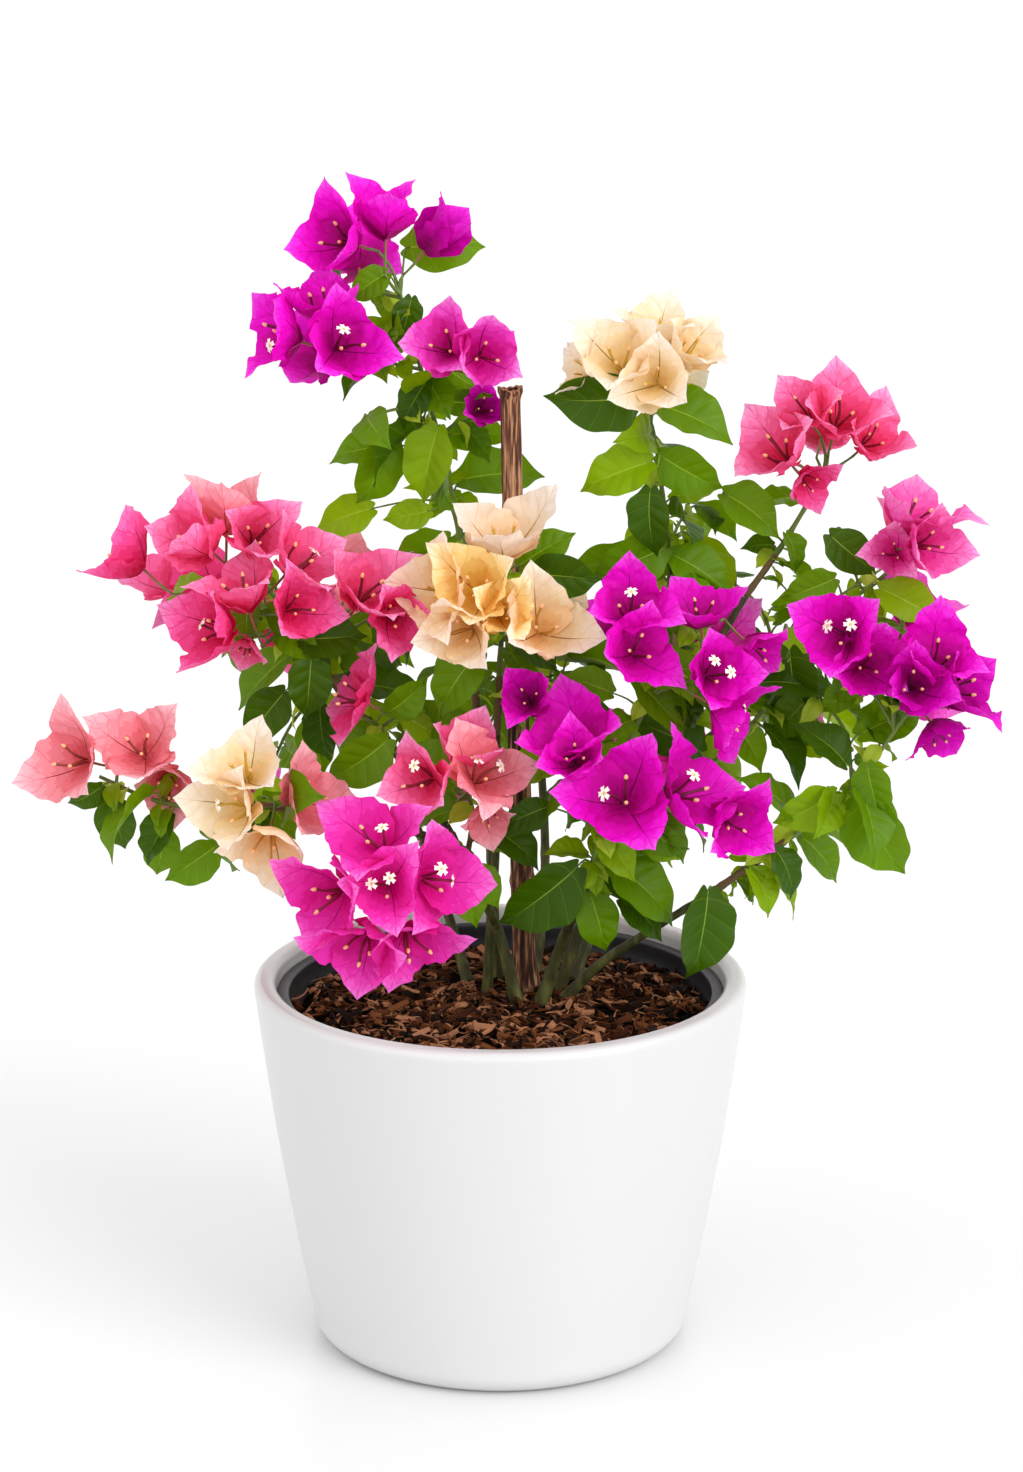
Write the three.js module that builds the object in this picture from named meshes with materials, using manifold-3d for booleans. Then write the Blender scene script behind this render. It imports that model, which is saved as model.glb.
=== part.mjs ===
// A bougainvillea bush in a round glazed pot, in millimetres, +Z up.
// The origin is the middle of the pot's flat foot, and -Y is the side that faces the viewer.
import * as THREE from 'three';
import { mergeVertices } from 'three/addons/utils/BufferGeometryUtils.js';
import Module from 'manifold-3d';

const wasm = await Module();
wasm.setup();

// Pot
const POT_HEIGHT = 227.5;
const POT_TOP_RADIUS = 150;
const POT_BASE_RADIUS = 113;
const POT_BOW = 2.5;
const POT_FOOT_FILLET = 16;
const POT_RIM_WIDTH = 13.5;
const POT_RIM_ROUND = 5;
const POT_WALL_AT_FOOT = 10;
const POT_FLOOR = 10;

// Inner plastic pot and what it holds
const LINER_TOP = POT_HEIGHT - 9;
const LINER_LIP_WIDTH = 7;
const LINER_LIP_DEPTH = 5;
const LINER_WALL = 2.2;
const LINER_SIDE_GAP = 4;
const MULCH_TOP = 207;
const MULCH_EDGE_DROP = 4;
const MULCH_FLAT_RADIUS = 96;

// Clearances and facets
const CLEAR = 0.3;
const ROUND_FACETS = 32;
const SPAN_STEPS = 8;

// Foliage and blossom
const LEAF_SPACING = 40;
const TWIG_LEAF_SPACING = 34;
const LEAF_LENGTH = 46;
const LEAF_WIDTH = 0.7;
const LEAF_THICKNESS = 1.6;
const PETIOLE_SHARE = 0.22;
const BRACT_LENGTH = 45;
const BRACT_OPEN = 42;
const BRACT_OPEN_VARIES = 12;
const BRACT_THICKNESS = 1.8;
const SEAM_HEIGHT = 0.3;
const SEAM_RADIUS = 0.5;
const STALK_RADIUS = 1.2;
const LONG_PETIOLE = 26;
const FLOWER_REACH = 24;
const FLOWER_SPREAD = THREE.MathUtils.degToRad(46);
const HEAD_DEPTH = 12;
const TWIG_RADIUS = 2.1;
const TWIG_TIP_RADIUS = 1.8;
const SHORT_TWIG = 60;
const ROOT_RADIUS = 0.6;
const ROOT_DEPTH = 2;
const WIDEST_AT = 0.42;
const GOLDEN_TURN = Math.PI * (3 - Math.sqrt(5));
const UP = new THREE.Vector3(0, 0, 1);

// Which way the leaves face: out from the crown's middle, most of all to front and back, and up
const CROWN_MIDDLE = 35;
const SIDEWAYS = 0.35;
const LEAF_FACE_UP = 0.9;
const FRONT_FACE = new THREE.Vector3(0, -1, 0.45);

// Colours
const COLOURS = {
  glaze: 0xf4f4f4,
  liner: 0x2b2d30,
  mulch: 0x4a2c1b,
  oldBark: 0x5b3526,
  youngBark: 0x66702f,
  leaf: 0x4f8a1c,
  magenta: 0xc010b4,
  coral: 0xea5f7c,
  cream: 0xf2d7ae,
};

// Limbs: each runs through its places from foot to tip, with its radius at either end.
const LIMBS = [
  {
    name: 'trunk_cut_back', radius: [7.2, 6], flare: 3.2, sides: 12,
    route: [[15, 36, MULCH_TOP], [12, 33, 330], [9, 29, 460], [6, 26, 582]],
  },
  {
    name: 'bough_left', radius: [4, 2.4], flare: 1.4,
    route: [[10, 10, MULCH_TOP], [-1, 5, 252], [-17, 2, 289], [-42, 6, 335], [-74, 8, 378]],
  },
  {
    name: 'bough_centre', radius: [3.4, 2.4], flare: 1,
    route: [[-8, 26, MULCH_TOP], [-6, 20, 250], [-3, 12, 296], [-2, 8, 340], [-2, 5, 376]],
  },
  {
    name: 'bough_front_right', radius: [4.3, 2.8], flare: 1.6,
    route: [[25, 6, MULCH_TOP], [36, -4, 245], [46, -20, 275], [57, -32, 304]],
  },
  {
    name: 'bough_low_right', radius: [3.6, 2.4], flare: 1.4,
    route: [[39, 12, MULCH_TOP], [58, 4, 230], [84, -8, 253], [127, -20, 285]],
  },
  {
    name: 'bough_upper_left', radius: [3.6, 2.8], flare: 1,
    route: [[-2, 52, MULCH_TOP], [-6, 58, 290], [-14, 62, 371]],
  },
  {
    name: 'bough_upper_right', radius: [3.8, 2.6], flare: 1.2,
    route: [[36, 30, MULCH_TOP], [48, 30, 245], [66, 31, 300], [88, 33, 350], [101, 35, 395]],
  },
  {
    name: 'bough_back_left', radius: [3.6, 2.5], flare: 1,
    route: [[-20, 46, MULCH_TOP], [-38, 68, 262], [-64, 92, 322], [-96, 108, 372]],
  },
  {
    name: 'bough_back', radius: [3.6, 2.5], flare: 1,
    route: [[22, 62, MULCH_TOP], [28, 86, 265], [26, 106, 325], [20, 116, 378]],
  },
  {
    name: 'bough_back_right', radius: [3.6, 2.5], flare: 1,
    route: [[46, 50, MULCH_TOP], [66, 70, 258], [98, 92, 308], [132, 106, 346]],
  },
  {
    name: 'bough_front', radius: [3, 2.2], from: 'bough_left',
    route: [[-2, 4.4, 255], [-10, -18, 283], [-20, -40, 308], [-28, -56, 332]],
  },
  {
    name: 'bough_far_left', radius: [2.8, 2.2], from: 'bough_left',
    route: [[-24, 2.6, 303], [-46, -10, 318], [-74, -28, 328], [-102, -46, 334]],
  },
  {
    name: 'bough_right', radius: [3, 2.2], from: 'bough_upper_right',
    route: [[88, 33, 350], [106, 40, 378], [126, 46, 412], [148, 50, 450]],
  },
  {
    name: 'bough_far_right', radius: [2.4, 1.9], from: 'bough_right',
    route: [[110, 41, 385], [136, 40, 402], [162, 38, 418], [184, 32, 437]],
  },
];

// Sprays: each grows on from a limb's tip, or from its side at the share given by on.
// A head of blossom is set by its middle and the way it faces, and has one flower unless flowers says more.
// Its turn is where its first bract points, and open how far its bracts lean out, both in degrees.
// Its twig leaves the stem at least start millimetres up, so that a low head's twig clears the limb.
const SPRAYS = [
  {
    name: 'spray_lower_front', tint: 'magenta', seed: 11, from: 'bough_front',
    route: [[-36, -68, 328], [-50, -82, 321]],
    heads: [
      { at: [-65, -138, 325], aim: [-0.2, -0.95, 0.25], size: 0.85, turn: 50, open: 40 },
      { at: [-71, -123, 348], aim: [-0.35, -0.6, 0.75], size: 0.95, turn: 20, open: 45 },
      { at: [-98, -117, 313], aim: [-0.7, -0.7, -0.1], size: 1.05, turn: 25, open: 45 },
      { at: [-36, -122, 324], aim: [0.75, -0.65, 0.15], turn: 110, open: 50 },
      { at: [-79, -120, 283], aim: [-0.3, -0.8, -0.45], turn: 30, open: 45 },
      { at: [-51, -121, 285], aim: [0.25, -0.75, -0.55], turn: 5, open: 50 },
    ],
    leaves: [
      { foot: [-30, -78, 318], tip: [-12, -84, 282] },
      { foot: [-18, -70, 315], tip: [3, -74, 294] },
    ],
  },
  {
    name: 'spray_front_centre', tint: 'coral', seed: 23, from: 'bough_front', on: 0.72,
    route: [[-16, -52, 340], [-18, -58, 356]],
    heads: [
      { at: [-45, -92, 375], aim: [-0.6, -0.8, 0.2], size: 0.9, turn: 90, open: 40 },
      { at: [-10, -87, 377], aim: [0.45, -0.6, 0.65], size: 0.95, turn: 20, open: 45 },
      { at: [-20, -69, 385], aim: [0.25, -0.35, 0.9], size: 0.8, turn: 70, open: 35 },
      { at: [-8, -77, 349], aim: [0.35, -0.7, -0.65], size: 0.6, turn: 30, open: 40 },
    ],
    leaves: [{ foot: [-24, -46, 356], tip: [-56, -38, 384] }],
  },
  {
    name: 'spray_far_left', tint: 'cream', seed: 37, from: 'bough_far_left',
    route: [[-138, -58, 350], [-176, -50, 346], [-206, -44, 350], [-236, -38, 362]],
    heads: [
      { at: [-249, -55, 377], aim: [-0.7, -0.65, 0.3], size: 0.95, turn: 80, open: 45 },
      { at: [-209, -58, 385], aim: [-0.1, -0.7, 0.7], size: 0.95, turn: 40, open: 40 },
      { at: [-195, -42, 360], aim: [0.05, -0.9, -0.4], size: 0.75, turn: 30, open: 35 },
      { at: [-148, -82, 378], aim: [-0.15, -0.55, 0.8], size: 0.95, turn: 70, open: 45 },
      { at: [-152, -89, 357], aim: [-0.6, -0.75, 0.2], size: 0.95, turn: 50, open: 35 },
      { at: [-134, -92, 336], aim: [-0.1, -0.8, -0.6], size: 0.85, turn: 50, open: 50 },
      { at: [-113, -76, 359], aim: [0.75, -0.6, 0.35], size: 0.9, turn: 0, open: 45 },
    ],
    leaves: [
      { foot: [-230, -45, 352], tip: [-220, -45, 317] },
      { foot: [-234, -44, 358], tip: [-254, -45, 344] },
      { foot: [-199, -34, 330], tip: [-203, -32, 297] },
      { foot: [-166, -56, 325], tip: [-198, -62, 306] },
      { foot: [-140, -42, 351], tip: [-118, -43, 326] },
    ],
  },
  {
    name: 'spray_left', tint: 'coral', seed: 41, from: 'bough_left',
    route: [[-108, 10, 420], [-142, 8, 446], [-168, 6, 466]],
    heads: [
      { at: [-219, -4, 487], aim: [-0.75, 0.05, 0.65], size: 0.95, turn: 80, open: 40 },
      { at: [-176, -19, 499], aim: [-0.55, -0.55, 0.6], size: 1.05, turn: 50, open: 25 },
      { at: [-161, 5, 510], aim: [0.05, -0.1, 1], turn: 30, open: 30 },
      { at: [-144, -6, 499], aim: [0.25, -0.75, 0.6], size: 0.9, turn: 40, open: 30 },
      { at: [-150, -33, 471], aim: [-0.3, -0.2, 0.95], turn: 70, open: 35 },
      { at: [-119, -41, 464], aim: [0.6, -0.75, 0.3], size: 0.8, turn: 110, open: 40 },
      { at: [-118, -18, 487], aim: [0.65, -0.3, 0.7], turn: 50, open: 45 },
      { at: [-78, -24, 470], aim: [0.45, -0.5, 0.7], turn: 40, open: 40 },
      { at: [-62, -33, 458], aim: [0.4, -0.9, 0.2], size: 0.85, turn: 10, open: 30 },
      { at: [-166, -40, 451], aim: [-0.8, -0.55, 0.25], size: 0.95, turn: 30, open: 35 },
      { at: [-149, -26, 437], aim: [-0.3, -0.65, -0.7], size: 0.5, turn: 20, open: 40 },
      { at: [-180, 62, 452], aim: [-0.6, 0.75, 0.3], size: 0.95 },
    ],
    leaves: [
      { foot: [-111, -22, 432], tip: [-115, -26, 392] },
      { foot: [-118, -18, 440], tip: [-78, -20, 441] },
      { foot: [-128, 0, 404], tip: [-155, -4, 374] },
    ],
  },
  {
    name: 'spray_inner_left', tint: 'coral', seed: 47, from: 'bough_left', on: 0.82,
    route: [[-70, -8, 382], [-82, -14, 392]],
    heads: [
      { at: [-88, -35, 409], aim: [-0.85, -0.3, 0.4], size: 0.9, turn: 30, open: 60 },
    ],
    leaves: [
      { foot: [-66, -36, 384], tip: [-102, -40, 356] },
      { foot: [-66, -30, 399], tip: [-41, -34, 419] },
    ],
  },
  {
    name: 'spray_centre', tint: 'cream', seed: 53, from: 'bough_centre', leaf: 40,
    route: [[0, -2, 424], [2, -8, 460], [3, -10, 482]],
    heads: [
      { at: [2, -20, 501], aim: [-0.1, -0.45, 0.9], size: 1.05, turn: 30, open: 35 },
      { at: [-34, -41, 476], aim: [-0.7, -0.6, 0.35], size: 0.95, turn: 50, open: 45 },
      { at: [-12, -54, 478], aim: [-0.2, -0.8, 0.6], size: 0.9, turn: 20, open: 40 },
      { at: [1, -59, 465], aim: [0.15, -0.8, 0.6], size: 0.7, turn: 50, open: 35 },
      { at: [-21, -59, 455], aim: [-0.5, -0.85, 0.1], size: 0.9, turn: 80, open: 30 },
      { at: [24, -57, 457], aim: [0.2, -0.8, 0.55], size: 0.95, turn: 100, open: 45 },
    ],
    leaves: [
      { foot: [-12, -36, 436], tip: [-42, -42, 402] },
      { foot: [12, -10, 483], tip: [42, -12, 505] },
      { foot: [18, -16, 479], tip: [60, -20, 479] },
      { foot: [7, -20, 440], tip: [35, -24, 424] },
    ],
  },
  {
    name: 'spray_centre_right', tint: 'magenta', seed: 61, from: 'bough_front_right',
    route: [[66, -40, 347], [76, -44, 385], [90, -48, 416]],
    heads: [
      { at: [75, -68, 471], aim: [0.05, -0.7, 0.7], size: 0.9, turn: 90, open: 40 },
      { at: [78, -85, 449], aim: [0.25, -0.85, 0.45], size: 0.9, turn: 80, open: 45 },
      { at: [123, -89, 437], aim: [0.45, -0.8, 0.35], size: 0.9, turn: 0, open: 45 },
      { at: [116, -61, 466], aim: [-0.05, -0.3, 0.95], size: 0.8, turn: 0, open: 50 },
      { at: [147, -59, 443], aim: [0.6, -0.55, -0.55], size: 0.75, turn: 60, open: 45 },
      { at: [133, -69, 407], aim: [0.85, -0.3, -0.45], turn: 10, open: 45 },
    ],
    leaves: [
      { foot: [79, -50, 423], tip: [111, -52, 390] },
      { foot: [65, -52, 416], tip: [36, -56, 429] },
    ],
  },
  {
    name: 'spray_low_centre', tint: 'magenta', seed: 71, from: 'bough_front_right', on: 0.8,
    route: [[56, -48, 318], [58, -60, 340]],
    heads: [
      { at: [43, -83, 397], aim: [-0.3, -0.4, 0.85], size: 1.05, turn: 90, open: 45 },
      { at: [43, -97, 388], aim: [-0.05, -0.75, 0.65], size: 0.75, turn: 90, open: 40 },
      { at: [17, -64, 415], aim: [-0.2, -0.8, 0.6], size: 0.65, turn: 10, open: 35 },
      { at: [69, -112, 370], aim: [-0.2, -0.8, 0.6], size: 1.05, turn: 60, open: 50 },
      { at: [107, -96, 368], aim: [0.85, -0.3, 0.45], size: 1.05, turn: 30, open: 50 },
      { at: [134, -85, 348], aim: [0.55, -0.85, -0.1], size: 0.85, turn: 70, open: 35 },
    ],
    leaves: [
      { foot: [45, -55, 311], tip: [-2, -58, 276] },
      { foot: [66, -50, 311], tip: [107, -52, 276] },
      { foot: [53, -44, 292], tip: [66, -46, 255] },
      { foot: [85, -62, 336], tip: [111, -64, 323] },
      { foot: [28, -58, 349], tip: [-1, -62, 340] },
      { foot: [72, -38, 286], tip: [100, -42, 265] },
    ],
  },
  {
    name: 'spray_low_right', tint: 'leaf', seed: 79, from: 'bough_low_right', leaf: 42, twigs: 2,
    route: [[164, -25, 314], [207, -26, 350], [239, -28, 396]],
    heads: [
      { at: [199, -59, 452], aim: [-0.4, -0.8, 0.45], size: 0.95, turn: 30, open: 40 },
      { at: [212, -51, 432], aim: [0.25, -0.9, 0.3], size: 0.85, turn: 80, open: 35 },
      { at: [239, -65, 423], aim: [-0.05, -0.9, 0.4], size: 0.85, turn: 90, open: 35 },
      { at: [253, -53, 437], aim: [0.2, -0.65, 0.75], size: 0.9, turn: 90, open: 35 },
      { at: [267, -49, 417], aim: [0.75, -0.45, 0.5], size: 0.95, turn: 50, open: 35 },
      { at: [257, -41, 389], aim: [0.55, -0.35, -0.75], size: 0.65, turn: 50, open: 45 },
    ],
    leaves: [
      { foot: [123, -44, 293], tip: [115, -52, 238] },
      { foot: [198, -34, 350], tip: [163, -38, 329] },
      { foot: [211, -35, 346], tip: [237, -38, 297] },
      { foot: [204, -34, 368], tip: [176, -34, 396] },
      { foot: [216, -38, 369], tip: [223, -44, 334] },
      { foot: [163, -35, 316], tip: [178, -36, 286] },
      { foot: [148, -34, 303], tip: [164, -36, 276] },
    ],
  },
  {
    name: 'spray_upper_right', tint: 'cream', seed: 83, from: 'bough_upper_right', leaf: 50, twigs: 1,
    route: [[104, 38, 430], [101, 42, 480], [94, 42, 540], [88, 40, 566]],
    heads: [
      { at: [70, 0, 603], aim: [-0.2, -0.7, 0.7], size: 0.95, turn: 20, open: 35 },
      { at: [51, 18, 595], aim: [-0.8, -0.25, 0.5], size: 0.7, turn: 110, open: 40 },
      { at: [91, 22, 615], aim: [0.15, -0.25, 0.95], size: 0.8, turn: 70, open: 35 },
      { at: [111, 11, 606], aim: [0.5, -0.5, 0.7], size: 0.85, turn: 70, open: 35 },
      { at: [91, -11, 592], aim: [-0.1, -0.95, 0.35], size: 0.8, turn: 80, open: 35 },
      { at: [82, 64, 588], aim: [0.1, 0.75, 0.6], flowers: 2, size: 0.8 },
    ],
    leaves: [
      { foot: [82, 12, 581], tip: [27, 8, 572] },
      { foot: [91, 14, 574], tip: [139, 10, 554] },
      { foot: [89, 20, 539], tip: [46, 18, 525] },
      { foot: [95, 25, 542], tip: [133, 22, 521] },
      { foot: [89, 12, 524], tip: [87, 6, 484] },
      { foot: [98, 20, 487], tip: [54, 16, 469] },
      { foot: [102, 25, 482], tip: [142, 20, 461] },
    ],
  },
  {
    name: 'spray_right', tint: 'coral', seed: 97, from: 'bough_right', leaf: 36,
    route: [[168, 53, 478], [184, 56, 504], [196, 58, 524]],
    heads: [
      { at: [166, 24, 544], aim: [-0.55, -0.5, 0.65], turn: 110, open: 40 },
      { at: [181, 36, 567], aim: [-0.4, -0.6, 0.65], size: 0.75, turn: 0, open: 40 },
      { at: [201, 34, 564], aim: [0.1, -0.65, 0.75], size: 0.95, turn: 90, open: 35 },
      { at: [221, 39, 549], aim: [0.45, -0.7, 0.6], size: 0.8, turn: 80, open: 35 },
      { at: [183, 25, 526], aim: [0.45, -0.8, -0.4], size: 0.55, turn: 40, open: 40 },
      { at: [196, 80, 548], aim: [0.2, 0.85, 0.45], size: 0.8 },
    ],
    leaves: [
      { foot: [134, 40, 516], tip: [171, 32, 496] },
      { foot: [172, 48, 490], tip: [181, 44, 467] },
    ],
  },
  {
    name: 'spray_far_right', tint: 'magenta', seed: 103, from: 'bough_far_right', leaf: 38,
    route: [[206, 26, 452], [224, 22, 465], [236, 18, 478]],
    heads: [
      { at: [244, 2, 510], aim: [0.25, -0.2, 0.95], turn: 90, open: 40 },
      { at: [250, -13, 496], aim: [0.6, -0.75, 0.25], size: 0.85, turn: 100, open: 30 },
      { at: [233, 0, 488], aim: [-0.35, -0.85, 0.35], size: 0.6, turn: 70, open: 40 },
      { at: [256, 44, 424], aim: [0.6, 0.75, 0.1], flowers: 2, size: 0.95 },
    ],
    leaves: [
      { foot: [196, 20, 495], tip: [224, 16, 469] },
      { foot: [225, 2, 466], tip: [260, -4, 447] },
      { foot: [199, 12, 470], tip: [168, 8, 457] },
    ],
  },
  {
    name: 'spray_inner_right', tint: 'leaf', seed: 109, from: 'bough_upper_right', on: 0.6,
    leaf: 50, twigs: 2,
    route: [[96, 18, 332], [132, 6, 362], [160, 2, 396], [172, 0, 424]],
    heads: [{ at: [128, 62, 424], aim: [0.2, 0.8, 0.5], size: 0.95 }],
    leaves: [{ foot: [172, 0, 429], tip: [180, -2, 378] }],
  },
  {
    name: 'spray_upper_left', tint: 'magenta', seed: 113, from: 'bough_upper_left', leaf: 48, twigs: 2,
    route: [[-22, 62, 470], [-29, 58, 509], [-38, 52, 552], [-50, 45, 602], [-60, 40, 640]],
    heads: [
      { at: [-93, 16, 672], aim: [-0.6, -0.7, 0.3], size: 0.95, turn: 80, open: 35 },
      { at: [-66, 18, 682], aim: [0.05, -0.2, 1], size: 0.9, turn: 30, open: 25 },
      { at: [-38, 37, 669], aim: [0.65, -0.1, 0.75], size: 0.8, turn: 80, open: 18 },
      { at: [-127, 1, 616], aim: [-0.85, -0.4, 0.25], turn: 0, open: 40 },
      { at: [-91, -12, 614], aim: [0.4, -0.8, 0.4], turn: 110, open: 40 },
      { at: [-103, 12, 634], aim: [-0.05, -0.15, 1], size: 0.9, turn: 90, open: 40 },
      { at: [-31, 11, 609], aim: [-0.35, -0.8, 0.45], size: 0.9, turn: 70, open: 30 },
      { at: [-10, 6, 605], aim: [0.25, -0.95, 0.25], size: 0.9, turn: 90, open: 30 },
      { at: [-11, 37, 568], aim: [0.35, -0.8, 0.45], size: 0.55, turn: 90, open: 35 },
      { at: [-86, 86, 652], aim: [-0.15, 0.85, 0.5], size: 0.95 },
      { at: [-112, 84, 592], aim: [-0.4, 0.85, 0.1], size: 0.95 },
    ],
    leaves: [
      { foot: [-64, 40, 550], tip: [-85, 38, 508] },
      { foot: [-33, 44, 571], tip: [-8, 42, 569] },
      { foot: [-37, 35, 557], tip: [-50, 32, 512] },
      { foot: [-43, 30, 586], tip: [-60, 26, 558] },
      { foot: [-56, 58, 661], tip: [-8, 60, 664] },
      { foot: [-24, 68, 519], tip: [27, 70, 526] },
      { foot: [-52, 32, 635], tip: [-58, 28, 608] },
      { foot: [-66, 30, 650], tip: [-90, 26, 636] },
      { foot: [-42, 48, 504], tip: [-70, 44, 498] },
      { foot: [-77, 60, 503], tip: [-113, 56, 494] },
      { foot: [-65, 56, 541], tip: [-103, 52, 538] },
    ],
  },
  {
    name: 'spray_back_left', tint: 'coral', seed: 127, from: 'bough_back_left', leaf: 52, twigs: 2,
    route: [[-120, 116, 402], [-138, 122, 430], [-152, 122, 452]],
    heads: [
      { at: [-205, 122, 446], aim: [-0.55, 0.6, 0.6] },
      { at: [-155, 136, 428], aim: [-0.3, 0.8, 0.5], flowers: 2 },
      { at: [-98, 148, 440], aim: [0.1, 0.9, 0.45], flowers: 2 },
      { at: [-160, 140, 306], aim: [-0.3, 0.9, -0.2], size: 0.95, start: 14 },
    ],
  },
  {
    name: 'spray_back', tint: 'magenta', seed: 131, from: 'bough_back', leaf: 52, twigs: 2,
    route: [[16, 122, 410], [10, 126, 440], [4, 122, 466]],
    heads: [
      { at: [-8, 138, 440], aim: [-0.1, 0.7, 0.7], flowers: 2 },
      { at: [30, 148, 418], aim: [0.2, 0.9, 0.4], size: 0.95 },
      { at: [-42, 152, 424], aim: [-0.5, 0.85, 0.2], size: 1.05 },
      { at: [76, 156, 396], aim: [0.45, 0.85, 0.25], size: 1.05 },
      { at: [-28, 160, 316], aim: [-0.3, 0.9, -0.3], size: 0.95, start: 14 },
      { at: [50, 160, 330], aim: [0.3, 0.9, -0.25], size: 0.95, start: 14 },
    ],
  },
  {
    name: 'spray_back_right', tint: 'coral', seed: 137, from: 'bough_back_right', leaf: 52, twigs: 2,
    route: [[156, 112, 374], [174, 114, 402], [188, 112, 428]],
    heads: [
      { at: [252, 112, 478], aim: [0.5, 0.6, 0.6], size: 0.85 },
      { at: [246, 122, 390], aim: [0.75, 0.65, 0.1], size: 0.95 },
      { at: [150, 148, 388], aim: [0, 0.95, 0.3], flowers: 2 },
      { at: [116, 150, 322], aim: [0.1, 0.95, -0.25], size: 0.95, start: 14 },
    ],
  },
];

const vector = (place) => new THREE.Vector3(...place);

const mix = (a, b, share) => a + (b - a) * share;

// Even pseudo-random numbers from 0 to 1 that are the same on every run.
function seeded(seed) {
  let state = seed;
  return () => {
    state = (state * 48271) % 2147483647;
    return state / 2147483647;
  };
}

// The part of a direction that stands square to another one.
function squared(direction, to) {
  return direction.clone().addScaledVector(to, -direction.dot(to)).normalize();
}

// A direction square to heading, turned round it from the X axis, or from Z where heading lies along X.
function across(heading, turn) {
  const start = Math.abs(heading.x) < 0.9 ? new THREE.Vector3(1, 0, 0) : UP;
  const first = squared(start, heading);
  const second = new THREE.Vector3().crossVectors(heading, first);
  return first.multiplyScalar(Math.cos(turn)).addScaledVector(second, Math.sin(turn));
}

// A direction leaned by an angle towards another one that is square to it.
function leaned(direction, towards, angle) {
  return direction.clone().multiplyScalar(Math.cos(angle)).addScaledVector(towards, Math.sin(angle));
}

// A smooth way through its places, walked by length.
class Way {
  constructor(places) {
    const curve = new THREE.CatmullRomCurve3(places, false, 'catmullrom', 0.5);
    this.points = curve.getPoints((places.length - 1) * SPAN_STEPS);
    this.walked = [0];
    for (let i = 1; i < this.points.length; i += 1) {
      this.walked.push(this.walked[i - 1] + this.points[i].distanceTo(this.points[i - 1]));
    }
    this.length = this.walked[this.walked.length - 1];
  }

  at(distance) {
    const last = this.points.length - 1;
    const wanted = Math.min(Math.max(distance, 0), this.length);
    let i = 1;
    while (i < last && this.walked[i] < wanted) i += 1;
    const share = (wanted - this.walked[i - 1]) / (this.walked[i] - this.walked[i - 1]);
    return this.points[i - 1].clone().lerp(this.points[i], share);
  }

  heading(distance) {
    return this.at(distance + 1).sub(this.at(distance - 1)).normalize();
  }

  nearest(point) {
    let best = 0;
    this.points.forEach((place, i) => {
      if (place.distanceTo(point) < this.points[best].distanceTo(point)) best = i;
    });
    return this.walked[best];
  }
}

function indexed(positions, index) {
  const geometry = new THREE.BufferGeometry();
  geometry.setAttribute('position', new THREE.Float32BufferAttribute(positions, 3));
  geometry.setIndex(index);
  return geometry;
}

// A closed tube with flat ends. Its foot is level where level is true.
function tube(points, radiusAt, sides, level = false) {
  const positions = [];
  const index = [];
  const last = points.length - 1;
  let first = null;
  points.forEach((point, i) => {
    const next = points[Math.min(i + 1, last)];
    const heading = next.clone().sub(points[Math.max(i - 1, 0)]).normalize();
    if (level && i === 0) heading.copy(UP);
    first = first ? squared(first, heading) : across(heading, 0);
    const second = new THREE.Vector3().crossVectors(heading, first);
    for (let k = 0; k < sides; k += 1) {
      const turn = (2 * Math.PI * k) / sides;
      const radius = radiusAt(i / last);
      const place = point.clone()
        .addScaledVector(first, radius * Math.cos(turn))
        .addScaledVector(second, radius * Math.sin(turn));
      positions.push(place.x, place.y, place.z);
    }
  });
  for (let i = 0; i < last; i += 1) {
    for (let k = 0; k < sides; k += 1) {
      const a = i * sides + k;
      const b = i * sides + ((k + 1) % sides);
      index.push(a, b, b + sides, a, b + sides, a + sides);
    }
  }
  for (let k = 1; k < sides - 1; k += 1) {
    index.push(0, k + 1, k, last * sides, last * sides + k, last * sides + k + 1);
  }
  return indexed(positions, index);
}

// A closed surface through rings of three corners each, ending in a point.
function pointed(rings, tip) {
  const positions = [...rings.flat(), tip].flatMap((corner) => corner.toArray());
  const index = [0, 2, 1];
  const last = rings.length - 1;
  for (let i = 0; i < last; i += 1) {
    for (let k = 0; k < 3; k += 1) {
      const a = i * 3 + k;
      const b = i * 3 + ((k + 1) % 3);
      index.push(a, b, b + 3, a, b + 3, a + 3);
    }
  }
  for (let k = 0; k < 3; k += 1) {
    index.push(last * 3 + k, last * 3 + ((k + 1) % 3), rings.length * 3);
  }
  return indexed(positions, index);
}

// A leaf: a three-sided petiole that widens into a flat blade with a keel under it.
function leafGeometry({ root, foot, along, face, length }, extra) {
  const right = new THREE.Vector3().crossVectors(along, face);
  const ring = (centre, half, depth) => [
    centre.clone().addScaledVector(right, half + extra).addScaledVector(face, extra),
    centre.clone().addScaledVector(face, -depth - extra),
    centre.clone().addScaledVector(right, -half - extra).addScaledVector(face, extra),
  ];
  const middle = foot.clone().addScaledVector(along, WIDEST_AT * length);
  const rings = [
    ring(root, ROOT_RADIUS, ROOT_RADIUS),
    ring(middle, (LEAF_WIDTH * length) / 2, LEAF_THICKNESS),
  ];
  if (root.distanceTo(foot) > LONG_PETIOLE) rings.splice(1, 0, ring(foot, 1, 1.2));
  return pointed(rings, foot.clone().addScaledVector(along, length + extra));
}

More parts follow.
